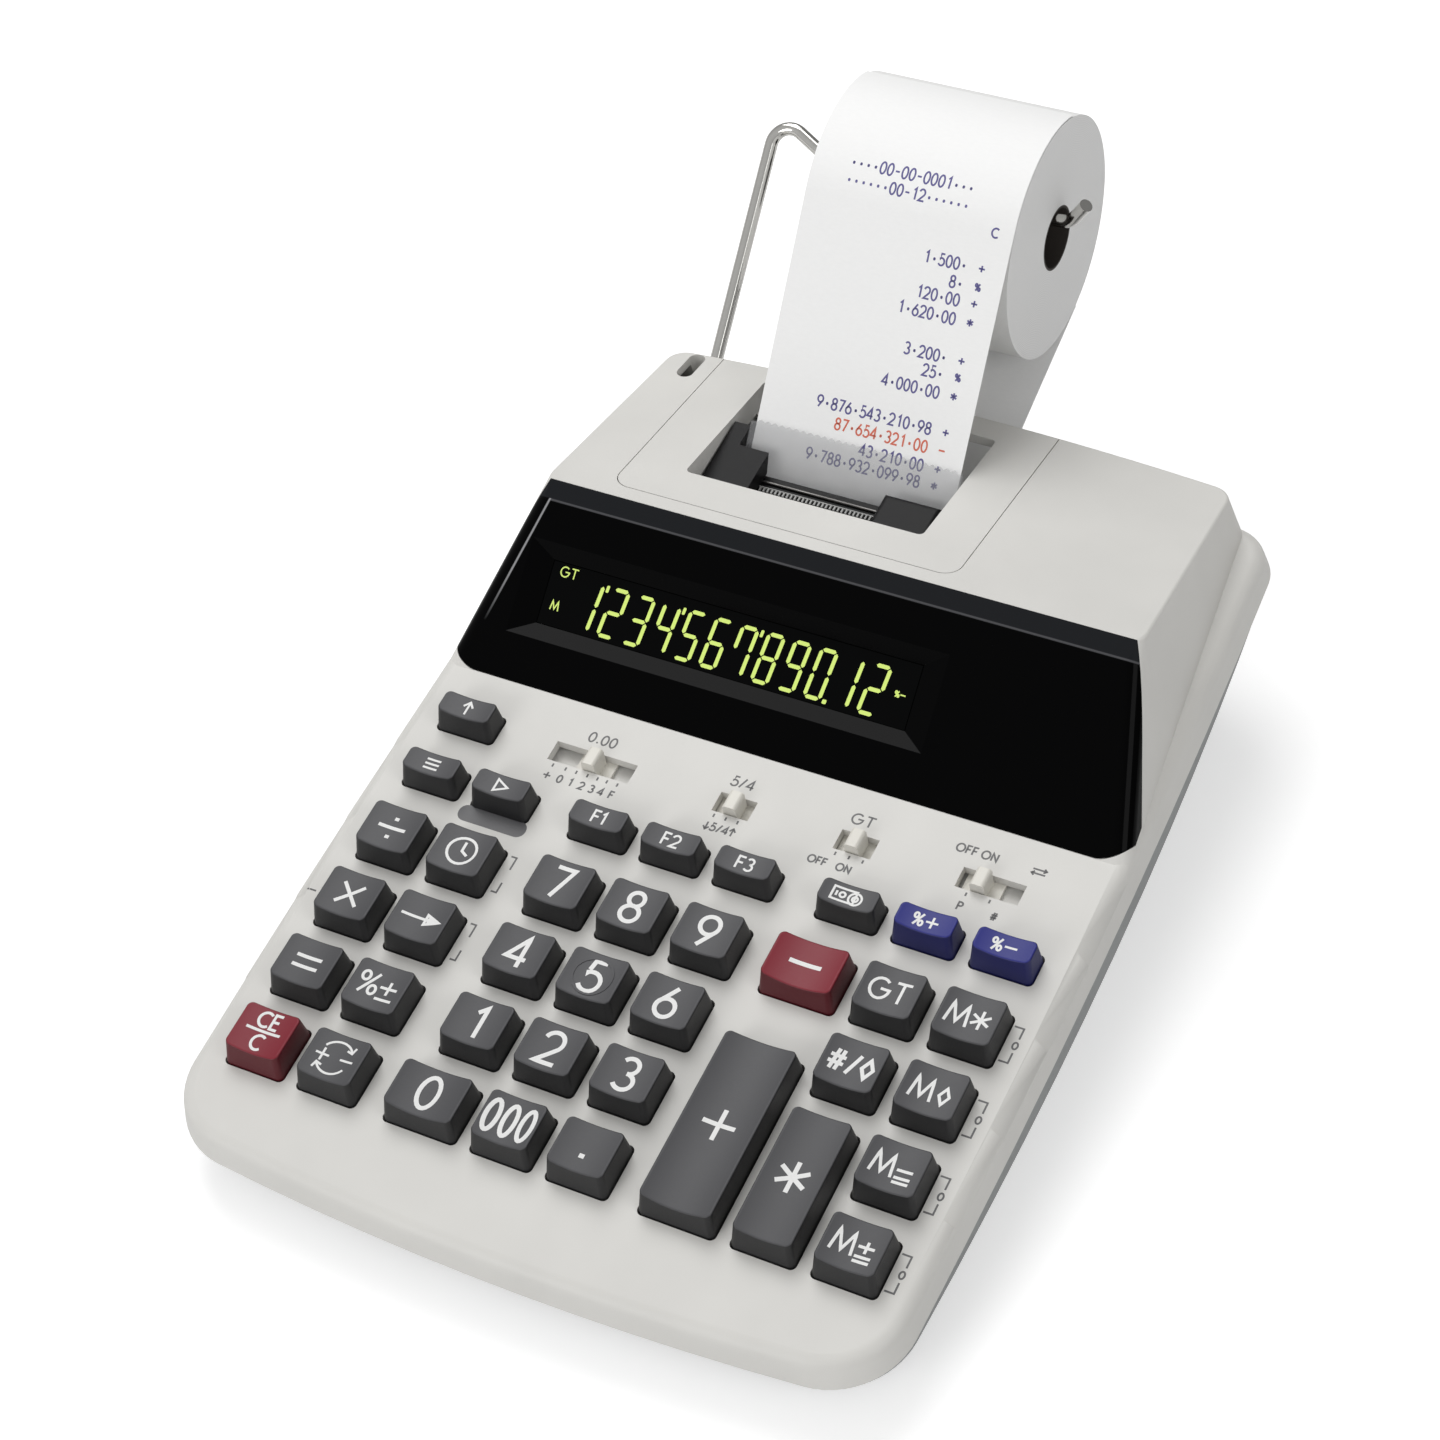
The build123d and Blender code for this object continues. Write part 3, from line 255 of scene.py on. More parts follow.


# wound paper: plain outside, the edges of the layers as rings on the two ends, and a near-black core that is
# painted shade of the hollow
def rollFinish():
    finish, shader = paperFinish("woundPaper", roll["outside"])
    low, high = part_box("paper_roll")
    middle = (low + high) / 2
    centre = addNode(finish, "ShaderNodeMapping", vector_type="POINT")
    centre.inputs["Location"].default_value = -middle
    wire(finish, placeOf(finish), centre.inputs["Vector"])
    flat = addNode(finish, "ShaderNodeVectorMath", operation="MULTIPLY")
    flat.inputs[1].default_value = (0, 1, 1)
    wire(finish, centre.outputs["Vector"], flat.inputs[0])
    away = addNode(finish, "ShaderNodeVectorMath", operation="LENGTH")
    wire(finish, flat.outputs["Vector"], away.inputs[0])
    turns = addNode(finish, "ShaderNodeMath", operation="MULTIPLY")
    turns.inputs[1].default_value = 2 * pi / (roll["layer"] * mm)
    wire(finish, away.outputs["Value"], turns.inputs[0])
    wave = addNode(finish, "ShaderNodeMath", operation="SINE")
    wire(finish, turns.outputs["Value"], wave.inputs[0])
    uneven = addNode(finish, "ShaderNodeMath", operation="MULTIPLY")
    wire(finish, wave.outputs["Value"], uneven.inputs[0])
    wire(finish, noiseOf(finish, roll["unevenGrain"]), uneven.inputs[1])
    onLayer = rangeOf(finish, uneven.outputs["Value"], 0, 1, -0.7, 0.7)
    rings = mixColours(finish, onLayer, roll["gap"], roll["edge"])
    geometry = addNode(finish, "ShaderNodeNewGeometry")
    split = addNode(finish, "ShaderNodeSeparateXYZ")
    wire(finish, geometry.outputs["Normal"], split.inputs["Vector"])
    sideways = addNode(finish, "ShaderNodeMath", operation="ABSOLUTE")
    wire(finish, split.outputs["X"], sideways.inputs[0])
    onEnd = rangeOf(finish, sideways.outputs["Value"], 0, 1, 0.7, 0.9)
    plain = shader.inputs["Base Color"].links[0].from_socket
    wound = mixColours(finish, onEnd, plain, rings)
    # everything within the core radius takes the near-black colour: painted shade in the hollow core
    edge = roll["coreRadius"] * mm
    outside = rangeOf(finish, away.outputs["Value"], 0, 1, edge, edge + 0.2 * mm)
    wire(finish, mixColours(finish, outside, roll["core"], wound), shader.inputs["Base Color"])
    return finish


def metalFinish(name, colour, rough, grain, stretch):
    finish, shader = newFinish(name, colour, rough, 1.0)
    streaks = noiseOf(finish, grain, 3.0, stretch)
    wire(finish, rangeOf(finish, streaks, rough * 0.7, rough * 1.5), shader.inputs["Roughness"])
    wire(finish, mixColours(finish, streaks, shade(colour, 0.9), colour), shader.inputs["Base Color"])
    return finish


tear = {"plate": (0.40, 0.405, 0.42), "alpha": 0.20, "rough": (0.14, 0.28),
        "edge": (0.85, 0.86, 0.86), "edgeFrom": 27.1, "edgeBlend": 0.8}


# smoky clear plastic that the paper shows through, with a paler toothed edge that is a painted highlight
def clearFinish():
    finish, shader = newFinish("clearPlastic", tear["plate"], 0.2)
    shader.inputs["Alpha"].default_value = tear["alpha"]
    along = heightOf(finish, paperFrame.translation, axisOf(paperFrame, 1))
    start = tear["edgeFrom"] * mm
    # paler colour along the toothed edge: a painted highlight
    edgeHighlight = rangeOf(finish, along, 0, 1, start, start + tear["edgeBlend"] * mm)
    wire(finish, mixColours(finish, edgeHighlight, tear["plate"], tear["edge"]), shader.inputs["Base Color"])
    wire(finish, rangeOf(finish, noiseOf(finish, 3.0), *tear["rough"]), shader.inputs["Roughness"])
    return finish


board = {"green": (0.03, 0.15, 0.06), "paler": (0.04, 0.18, 0.07), "track": (0.10, 0.30, 0.12), "pitch": 6.0,
         "switch": (0.80, 0.79, 0.76), "switchFrom": -10.5, "switchBlend": 0.2}


# green laminate with tracks, and pale bodies of the slide switches on it, made paler than the case as
# painted light against the shade in the slots
def boardFinish():
    finish, shader = newFinish("boardGreen", board["green"], 0.45)
    tracks = addNode(finish, "ShaderNodeTexBrick", Scale=1 / (board["pitch"] * mm), Mortar_Size=0.06,
                     Color1=(*board["green"], 1), Color2=(*board["paler"], 1), Mortar=(*board["track"], 1))
    wire(finish, placeOf(finish), tracks.inputs["Vector"])
    height = heightOf(finish, deckFrame.translation, axisOf(deckFrame, 2))
    start, end = board["switchFrom"] * mm, (board["switchFrom"] + board["switchBlend"]) * mm
    raised = rangeOf(finish, height, 0, 1, start, end)
    # the switch colour is partly the bodies' own pale plastic and partly painted light
    colour = mixColours(finish, raised, tracks.outputs["Color"], board["switch"])
    wire(finish, colour, shader.inputs["Base Color"])
    return finish


def inkFinish(name, colour, rough=0.45, glow=0.0):
    finish, shader = newFinish(name, colour, rough)
    patchy = noiseOf(finish, 0.5)
    mottled = mixColours(finish, patchy, shade(colour, 0.93), shade(colour, 1.05))
    wire(finish, mottled, shader.inputs["Base Color"])
    if glow:
        shader.inputs["Emission Color"].default_value = (*colour, 1)
        shader.inputs["Emission Strength"].default_value = glow
    return finish


finishes = {
    "case_light": mouldedPlastic("caseLight", (0.69, 0.68, 0.65), 0.48),
    "case_grey": mouldedPlastic("caseGrey", (0.30, 0.31, 0.31), 0.5),
    "lens_black": lensFinish(),
    "display_glass": glassFinish(),
    "clear_plastic": clearFinish(),
    "paper": paperFinish("stripPaper", (0.93, 0.93, 0.925))[0],
    "wire": metalFinish("brightWire", (0.72, 0.71, 0.68), 0.09, grain=0.8, stretch=(1, 1, 0.2)),
    "black_plastic": mouldedPlastic("blackPlastic", (0.006, 0.006, 0.0065), 0.42, gloss=0.15),
    "rubber_black": mouldedPlastic("blackRubber", (0.02, 0.02, 0.02), 0.75, grain=0.5, depth=0.03),
    "rubber_grey": mouldedPlastic("greyRubber", (0.30, 0.31, 0.31), 0.7, grain=0.5),
    "steel": metalFinish("plainSteel", (0.55, 0.55, 0.56), 0.3, grain=0.6, stretch=(1, 0.1, 1)),
    "board_green": boardFinish(),
    "key_charcoal": keyPlastic("keyCharcoal", (0.070, 0.070, 0.075), sideShadeShare=0.24),
    "key_red": keyPlastic("keyRed", (0.215, 0.012, 0.025), sideShadeShare=0.42),
    "key_blue": keyPlastic("keyBlue", (0.017, 0.021, 0.205), sideShadeShare=0.42),
}
for part in frame["record"]["subparts"]:
    skin = finishes[part["material_slot"]]
    nodes[part["node"]].data.materials.clear()
    nodes[part["node"]].data.materials.append(skin)
knobIvory = mouldedPlastic("knobIvory", (0.72, 0.70, 0.64), 0.4)
for name, node in nodes.items():
    if name.startswith("switch_"):
        node.data.materials[0] = knobIvory
nodes["paper_roll"].data.materials[0] = rollFinish()
inks = {
    "white": inkFinish("legendWhite", (0.80, 0.80, 0.79)),
    "grey": inkFinish("deckPrint", (0.11, 0.11, 0.112)),
    "patch": inkFinish("deckPatch", (0.115, 0.115, 0.12)),
    "violet": inkFinish("tapeViolet", (0.12, 0.11, 0.29), rough=0.7),
    "red": inkFinish("tapeRed", (0.68, 0.16, 0.10), rough=0.7),
    "glow": inkFinish("segmentGlow", (0.60, 0.76, 0.17), rough=0.5, glow=0.23),
    "rack": inkFinish("rackGrey", (0.36, 0.36, 0.35), rough=0.5),
}
print("finishes on", len(nodes), "nodes")


# signs are thin raised lines, drawn in a box one unit high
def arc(x, y, wide, high, start, end, steps=16):
    turn = [radians(start + (end - start) * i / steps) for i in range(steps + 1)]
    return [(x + wide * cos(a), y + high * sin(a)) for a in turn]


def ring(x, y, wide, high):
    return arc(x, y, wide, high, 0, 360, 24)


def spot(x, y, size=0.06):
    return [(x - size, y), (x + size, y)]


# a line through the middle of the box at an angle
def ray(turn):
    x, y = 0.5 * cos(radians(turn)), 0.5 * sin(radians(turn))
    return [(0.5 + x, 0.5 + y), (0.5 - x, 0.5 - y)]


signs = {
    "0": [ring(0.29, 0.5, 0.29, 0.5)],
    "1": [[(0, 0.78), (0.22, 1), (0.22, 0)]],
    "2": [arc(0.29, 0.70, 0.29, 0.30, 165, -40) + [(0, 0), (0.6, 0)]],
    "3": [arc(0.27, 0.755, 0.25, 0.245, 150, -90), arc(0.27, 0.26, 0.29, 0.26, 90, -150)],
    "4": [[(0.45, 0), (0.45, 1), (0, 0.28), (0.62, 0.28)]],
    "5": [[(0.52, 1), (0.16, 1), (0.09, 0.58)] + arc(0.26, 0.32, 0.32, 0.32, 122, -150)],
    "6": [ring(0.29, 0.30, 0.29, 0.30), [(0.04, 0.44), (0.42, 1)]],
    "7": [[(0, 1), (0.56, 1), (0.18, 0)]],
    "8": [ring(0.28, 0.765, 0.23, 0.235), ring(0.28, 0.27, 0.28, 0.27)],
    "9": [ring(0.29, 0.70, 0.29, 0.30), [(0.54, 0.56), (0.16, 0)]],
    "C": [arc(0.45, 0.5, 0.45, 0.5, 50, 310)],
    "E": [[(0.5, 1), (0, 1), (0, 0), (0.5, 0)], [(0, 0.52), (0.44, 0.52)]],
    "F": [[(0.48, 1), (0, 1), (0, 0)], [(0, 0.52), (0.42, 0.52)]],
    "G": [arc(0.48, 0.5, 0.48, 0.5, 48, 360) + [(0.52, 0.5)]],
    "M": [[(0, 0), (0.13, 1), (0.46, 0.12), (0.79, 1), (0.92, 0)]],
    "N": [[(0, 0), (0, 1), (0.62, 0), (0.62, 1)]],
    "O": [ring(0.45, 0.5, 0.45, 0.5)],
    "P": [[(0, 0), (0, 1), (0.25, 1)] + arc(0.25, 0.75, 0.25, 0.25, 90, -90) + [(0, 0.5)]],
    "T": [[(0, 1), (0.76, 1)], [(0.38, 1), (0.38, 0)]],
    "+": [[(0, 0.5), (0.9, 0.5)], [(0.45, 0.05), (0.45, 0.95)]],
    "-": [[(0, 0.5), (0.9, 0.5)]],
    "x": [[(0.05, 0.1), (0.85, 0.9)], [(0.05, 0.9), (0.85, 0.1)]],
    "d": [[(0, 0.5), (1, 0.5)], spot(0.5, 0.86, 0.075), spot(0.5, 0.14, 0.075)],
    "=": [[(0, 0.68), (0.9, 0.68)], [(0, 0.32), (0.9, 0.32)]],
    "%": [[(0.1, 0), (0.62, 1)], ring(0.14, 0.76, 0.14, 0.2), ring(0.58, 0.24, 0.14, 0.2)],
    "u": [[(0, 0.62), (0.62, 0.62)], [(0.31, 0.3), (0.31, 0.95)], [(0, 0.05), (0.62, 0.05)]],
    "e": [[(0, 0.5), (0.75, 0.5)], [(0, 0.13), (0.75, 0.13)], [(0, -0.1), (0.75, -0.1)]],
    "f": [[(0, 0.6), (0.75, 0.6)], [(0.38, 0.32), (0.38, 0.88)], [(0, 0.13), (0.75, 0.13)],
          [(0, -0.1), (0.75, -0.1)]],
    "h": [[(0.06, 0.46), (0.5, 0.46)]],
    "b": [[(0, 0), (1.7, 0), (1.7, 1), (0, 1), (0, 0)], ring(1.72, 0.42, 0.48, 0.48),
          ring(1.72, 0.42, 0.2, 0.2), [(0.3, 0.3), (0.3, 0.7)], ring(0.75, 0.5, 0.2, 0.2)],
    "*": [ray(90), ray(30), ray(150)],
    "#": [[(0.02, 0.66), (0.7, 0.66)], [(0, 0.34), (0.68, 0.34)],
          [(0.18, 0), (0.3, 1)], [(0.42, 0), (0.54, 1)]],
    "/": [[(0, 0), (0.4, 1)]],
    "o": [[(0, 0.45), (0.26, 0.9), (0.52, 0.45), (0.26, 0), (0, 0.45)]],
    ".": [spot(0.1, 0.08, 0.08)],
    ":": [spot(0.12, 0.42, 0.13), [(0.12, 0.29), (0.12, 0.55)]],
    ">": [[(0, 0.5), (1.3, 0.5)], [(1.0, 0.71), (1.55, 0.5), (1.0, 0.29), (1.0, 0.71)],
          [(1.08, 0.6), (1.34, 0.5), (1.08, 0.4)]],
    "^": [[(0.4, 0), (0.4, 1)], [(0.06, 0.6), (0.4, 1), (0.74, 0.6)]],
    "v": [[(0.4, 0), (0.4, 1)], [(0.06, 0.4), (0.4, 0), (0.74, 0.4)]],
    "m": [[(0, y), (1.2, y)] for y in (0.1, 0.5, 0.9)],
    "p": [[(0, 0), (0.95, 0.5), (0, 1), (0, 0)]],
    "t": [ring(0.5, 0.5, 0.5, 0.5), [(0.5, 0.85), (0.5, 0.5), (0.74, 0.36)]],
    "w": [[(0, 0.75), (1.5, 0.75)], [(1.2, 1), (1.5, 0.75), (1.2, 0.5)],
          [(0, 0.25), (1.5, 0.25)], [(0.3, 0.5), (0, 0.25), (0.3, 0)]],
}


def extent(lines):
    xs = [p[0] for line in lines for p in line]
    return min(xs), max(xs)


# lines of a row of signs, centred on (0, 0), or in cells of one pitch that end at the right
def writeSigns(text, height, gap=0.2, narrow=1.0, pitch=None):
    lines, at = [], 0.0
    for sign in text:
        left, right = extent(signs[sign])
        offset = at - left * narrow * height
        if pitch:
            offset = at + (pitch - (left + right) * narrow * height) / 2
        for line in signs[sign]:
            lines.append([(x * narrow * height + offset, (y - 0.5) * height) for x, y in line])
        at += pitch or (right - left) * narrow * height + gap * height
    width = at if pitch else at - gap * height
    shift = width if pitch else width / 2
    return [[(x - shift, y) for x, y in line] for line in lines]


def moved(lines, x, y):
    return [[(px + x, py + y) for px, py in line] for line in lines]


def densify(line, step):
    dense = [line[0]]
    for (x0, y0), (x1, y1) in zip(line, line[1:]):
        count = max(1, int(hypot(x1 - x0, y1 - y0) / step + 0.5))
        dense += [(x0 + (x1 - x0) * i / count, y0 + (y1 - y0) * i / count) for i in range(1, count + 1)]
    return dense


# both edges of a line, with mitred corners that are cut short where they are sharp
def edgesOf(line, half, closed, sharpest=0.45):
    count = len(line)
    sides = []
    for i, (x, y) in enumerate(line):
        before = line[i - 1] if i or closed else line[i]
        after = line[(i + 1) % count] if i < count - 1 or closed else line[i]
        ways = []
        for (ax, ay), (bx, by) in ((before, (x, y)), ((x, y), after)):
            long = hypot(bx - ax, by - ay)
            if long > 1e-9:
                ways.append(((bx - ax) / long, (by - ay) / long))
        first, last = ways[0], ways[-1]
        nx, ny = -(first[1] + last[1]), first[0] + last[0]
        size = hypot(nx, ny) or 1.0
        nx, ny = nx / size, ny / size
        reach = half / max(sharpest, nx * -first[1] + ny * first[0])
        sides.append(((x + nx * reach, y + ny * reach), (x - nx * reach, y - ny * reach)))
    return sides


# a closed thin mesh along each line, in millimetres, between the two heights of a layer
def lineMesh(name, lines, width, layer, step=0.9):
    low, high = layer
    points, quads = [], []
    for line in lines:
        closed = hypot(line[0][0] - line[-1][0], line[0][1] - line[-1][1]) < 1e-6
        dense = densify(line, step)
        if closed:
            dense = dense[:-1]
        start = len(points)
        for (lx, ly), (rx, ry) in edgesOf(dense, width / 2, closed):
            points += [(lx, ly, low), (rx, ry, low), (rx, ry, high), (lx, ly, high)]
        count = len(dense)
        for i in range(count if closed else count - 1):
            a = start + 4 * i
            b = start + 4 * ((i + 1) % count)
            for k in range(4):
                quads.append((a + k, a + (k + 1) % 4, b + (k + 1) % 4, b + k))
        if not closed:
            quads.append((start + 3, start + 2, start + 1, start))
            end = start + 4 * (count - 1)
            quads.append((end, end + 1, end + 2, end + 3))
    return newPiece(name, points, quads)


# a closed thin plate on each outline, in millimetres, between the two heights of a layer
def plateMesh(name, outlines, layer):
    low, high = layer
    points, faces = [], []
    for outline in outlines:
        start, count = len(points), len(outline)
        points += [(x, y, low) for x, y in outline] + [(x, y, high) for x, y in outline]
        faces.append(tuple(start + i for i in reversed(range(count))))
        faces.append(tuple(start + count + i for i in range(count)))
        for i in range(count):
            k = (i + 1) % count
            faces.append((start + i, start + k, start + count + k, start + count + i))
    return newPiece(name, points, faces)


def newPiece(name, points, faces):
    mesh = bpy.data.meshes.new(name)
    mesh.from_pydata([Vector(p) * mm for p in points], [], faces)
    piece = bpy.data.objects.new(name, mesh)
    bpy.context.scene.collection.objects.link(piece)
    pointOutwards(piece)
    return piece


def pointOutwards(piece):
    bpy.ops.object.select_all(action="DESELECT")
    piece.select_set(True)
    bpy.context.view_layer.objects.active = piece
    bpy.ops.object.mode_set(mode="EDIT")
    bpy.ops.mesh.select_all(action="SELECT")
    bpy.ops.mesh.normals_make_consistent(inside=False)
    bpy.ops.object.mode_set(mode="OBJECT")


# lays a flat piece on the surface of a node, looking down the frame's z
def layOn(piece, place, node, reach=25):
    out = (place.to_3x3() @ Vector((0, 0, 1))).normalized()
    for point in piece.data.vertices:
        above = place @ Vector((point.co.x, point.co.y, reach * mm))
        found, spotOn, _, _ = nodes[node].ray_cast(above, -out, distance=2 * reach * mm)
        base = spotOn if found else place @ Vector((point.co.x, point.co.y, 0))
        point.co = base + out * point.co.z
    piece.data.update()


def settle(piece, finish, body):
    piece.data.materials.append(finish)
    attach(piece, body)


# widths of the lines, and the layer that the signs on the keys fill
stroke = {"digit": 1.1, "bold": 0.9, "sign": 0.7, "small": 0.55, "layer": (-0.03, 0.05)}
# width, then for each row: signs, height, x and y from the middle of the key's top, narrowing
keySigns = {
    "feed": ("small", [("^", 3.8, 0, 0, 1)]),
    "mode": ("small", [("m", 3.2, 0, 0, 1)]),
    "start": ("small", [("p", 3.4, 0, 0, 1)]),
    "cost": ("small", [("F1", 3.4, 0, 0, 1)]),
    "sell": ("small", [("F2", 3.4, 0, 0, 1)]),
    "margin": ("small", [("F3", 3.4, 0, 0, 1)]),
    "currency": ("small", [("b", 3.4, -0.4, 0, 1)]),
    "tax_plus": ("small", [("%+", 3.4, 0, 0, 1)]),
    "tax_minus": ("small", [("%-", 3.4, 0, 0, 1)]),
    "divide": ("bold", [("d", 7.4, 0, 0, 1)]),
    "multiply": ("bold", [("x", 7.2, 0, 0, 1)]),
    "minus": ("digit", [("-", 9.0, 0, 0, 1)]),
    "plus": ("digit", [("+", 9.0, 0, 0, 1)]),
    "equals": ("bold", [("=", 7.6, 0, 0, 1)]),
    "percent": ("sign", [("%", 6.0, -2.6, 0.4, 1.1), ("u", 5.6, 2.8, -0.4, 1.3)]),
    "sign": ("small", [("+", 3.8, -3.2, 0, 1), ("-", 3.8, 3.2, 0, 1)]),
    "time": ("sign", [("t", 7.4, 0, 0, 1)]),
    "backspace": ("sign", [(">", 6.6, 0, 0, 1)]),
    "count": ("bold", [("#/o", 5.4, 0, 0, 1)]),
    "clear": ("sign", [("CE", 3.9, 0, 3.2, 1), ("C", 3.9, 0, -2.9, 1)]),
    "total": ("digit", [("*", 8.0, 0, 0, 1)]),
    "grand_total": ("sign", [("GT", 5.4, 0, 0, 0.9)]),
    "memory_total": ("sign", [("M", 5.5, -2.6, 0, 1), ("*", 5.0, 2.9, 0, 1)]),
    "memory_subtotal": ("sign", [("M", 5.5, -2.2, 0, 1), ("o", 4.8, 3.2, -0.2, 1)]),
    "memory_minus": ("sign", [("M", 5.5, -2.4, 0.2, 1), ("e", 5.2, 2.9, -0.2, 1)]),
    "memory_plus": ("sign", [("M", 5.5, -2.4, 0.2, 1), ("f", 5.2, 2.9, -0.2, 1)]),
    "000": ("digit", [("000", 8.0, 0, 0, 0.62)]),
    "point": ("digit", [(".", 8.3, 0, 1.5, 1)]),
}
for digit in "0123456789":
    keySigns[digit] = ("digit", [(digit, 8.3, 0, 0, 1)])
extraLines = {
    "clear": [[(-4.6, 0.15), (4.6, 0.15)]],
    "sign": [arc(0, 0.9, 3.9, 3.4, 155, 25), [(2.1, 2.7), (3.55, 2.3), (4.0, 3.9)],
             arc(0, -0.9, 3.9, 3.4, 335, 205), [(-2.1, -2.7), (-3.55, -2.3), (-4.0, -3.9)]],
}


# the middle of a key's top, in millimetres on the deck
def topMiddle(node, above=4.5):
    home = deckFrame.inverted()
    tops = [home @ v.co / mm for v in nodes[node].data.vertices if (home @ v.co).z > above * mm]
    xs = [p.x for p in tops]
    ys = [p.y for p in tops]
    return (min(xs) + max(xs)) / 2, (min(ys) + max(ys)) / 2


for key, (weight, rows) in keySigns.items():
    lines = []
    for text, height, x, y, narrow in rows:
        lines += moved(writeSigns(text, height, narrow=narrow), x, y)
    lines += extraLines.get(key, [])
    legend = lineMesh("legend_" + key, lines, stroke[weight], stroke["layer"])
    layOn(legend, onDeck(*topMiddle("key_" + key)), "key_" + key)
    settle(legend, inks["white"], "key_" + key)

# raised ring on the middle key of the figures
touch = {"key": "key_5", "radius": 4.9, "width": 0.55, "layer": (-0.05, 0.14)}
circle = ring(0, 0, touch["radius"], touch["radius"])
touchRing = lineMesh("touch_ring", [circle], touch["width"], touch["layer"])
layOn(touchRing, onDeck(*topMiddle(touch["key"])), touch["key"])
settle(touchRing, finishes["key_charcoal"], touch["key"])
print("signs on", len(keySigns), "keys")

# prints on the deck round the switches and keys; a row is signs, x, y and height
deckPrints = {
    "width": 0.45, "layer": (-0.02, 0.03), "gap": 0.25,
    "rows": [("0.00", -42.3, 52.4, 2.8), ("GT", 28.6, 52.3, 2.9), ("OFF", 55.2, 53.2, 2.2),
             ("ON", 61.0, 53.2, 2.2), ("w", 73.6, 53.0, 2.3), ("OFF", 23.0, 38.2, 2.0),
             ("ON", 29.8, 38.2, 2.0), ("P", 60.0, 37.9, 2.2), ("#", 68.6, 37.9, 2.2),
             ("v", -6.6, 38.2, 2.2), ("5/4", -3.2, 38.3, 2.2), ("^", 0.2, 38.3, 2.2),
             ("5/4", -3.6, 52.4, 2.8)],
    "scale": [("+", -50.7), ("0", -47.1), ("1", -44.1), ("2", -41.0),
              ("3", -38.2), ("4", -35.6), ("F", -32.7)],
    "scaleY": 38.2, "scaleHeight": 2.1, "tickY": (40.9, 41.9),
    "ticks": [-6.2, -3.0, 0.2, 26.2, 29.8, 33.4, 60.0, 66.0],
    "keyRows": [0, -20.6, -41.2, -61.8], "leftRows": [0, -20.6],
    "rightX": (84.9, 87.2), "rightHeights": (12.3, 9.4, 5.6, 2.8),
    "leftX": (-47.4, -45.9), "leftHeights": (13.6, 10, 6, 3),
    "ringInset": 0.2, "ringHeight": 7.5, "ringSize": (0.6, 0.9),
    "sideMark": [(-90.7, -12), (-88.2, -12)],
}


# a bracket beside a row of keys, open in its middle
def bracket(ends, heights, row):
    near, far = ends
    top, topEnd, lowEnd, low = (row + height for height in heights)
    return [[(near, top), (far, top), (far, topEnd)], [(far, lowEnd), (far, low), (near, low)]]


def printDeck():
    d = deckPrints
    lines = []
    for text, x, y, height in d["rows"]:
        lines += moved(writeSigns(text, height, d["gap"]), x, y)
    for text, x in d["scale"]:
        lines += moved(writeSigns(text, d["scaleHeight"]), x, d["scaleY"])
    low, high = d["tickY"]
    for x in [x for _, x in d["scale"]] + d["ticks"]:
        lines.append([(x, low), (x, high)])
    for row in d["keyRows"]:
        lines += bracket(d["rightX"], d["rightHeights"], row)
        lines.append(ring(d["rightX"][1] - d["ringInset"], row + d["ringHeight"], *d["ringSize"]))
    for row in d["leftRows"]:
        lines += bracket(d["leftX"], d["leftHeights"], row)
    lines.append(d["sideMark"])
    piece = lineMesh("deck_print", lines, d["width"], d["layer"])
    layOn(piece, deckFrame, "upper_case")
    settle(piece, inks["grey"], "case")


def roundedBox(x0, y0, x1, y1, radius):
    corners = [(x1 - radius, y0 + radius, 270), (x1 - radius, y1 - radius, 0),
               (x0 + radius, y1 - radius, 90), (x0 + radius, y0 + radius, 180)]
    outline = []
    for x, y, start in corners:
        outline += arc(x, y, radius, radius, start, start + 90, 5)
    return outline


printDeck()
startPatch = {"box": (-66.4, 18.9, -47.6, 23.6), "radius": 2.2}
outline = roundedBox(*startPatch["box"], startPatch["radius"])
patch = plateMesh("start_patch", [outline], deckPrints["layer"])
layOn(patch, deckFrame, "upper_case")
settle(patch, inks["patch"], "case")
print("deck prints done")

# display: seven-segment figures behind the window
display = {"low": 17.0, "high": 30.0, "left": -62.2, "pitch": 7.18, "width": 5.0, "bar": 1.0, "gap": 0.2,
           "lean": 0.10, "text": "123456789012", "point": 9, "ticks": (0, 3, 6),
           "pointBox": (0.9, -0.2, 2.0, 0.9), "tickBox": (0.9, -1.9, 1.7, -0.1), "boxRadius": 0.3,
           "signs": [("GT", 2.5, -67.2, 30.2), ("M", 2.4, -68.6, 21.4), ("%-", 1.5, 26.0, 24.1)],
           "signWidth": 0.34, "layer": (-0.05, 0.04)}
segments = {"0": "abcdef", "1": "bc", "2": "abged", "3": "abgcd", "4": "fgbc", "5": "afgcd", "6": "afgedc",
            "7": "fabc", "8": "abcdefg", "9": "abcdfg"}


# a segment with pointed ends
def bar(x0, y0, x1, y1, half, gap):
    long = hypot(x1 - x0, y1 - y0)
    ux, uy = (x1 - x0) / long, (y1 - y0) / long
    x0, y0, x1, y1 = x0 + ux * gap, y0 + uy * gap, x1 - ux * gap, y1 - uy * gap
    both, less = (ux + uy) * half, (uy - ux) * half
    return [(x0, y0), (x0 + both, y0 + less), (x1 + less, y1 - both),
            (x1, y1), (x1 - both, y1 - less), (x0 - less, y0 + both)]


def smallBox(x, y, box):
    return roundedBox(x + box[0], y + box[1], x + box[2], y + box[3], display["boxRadius"])


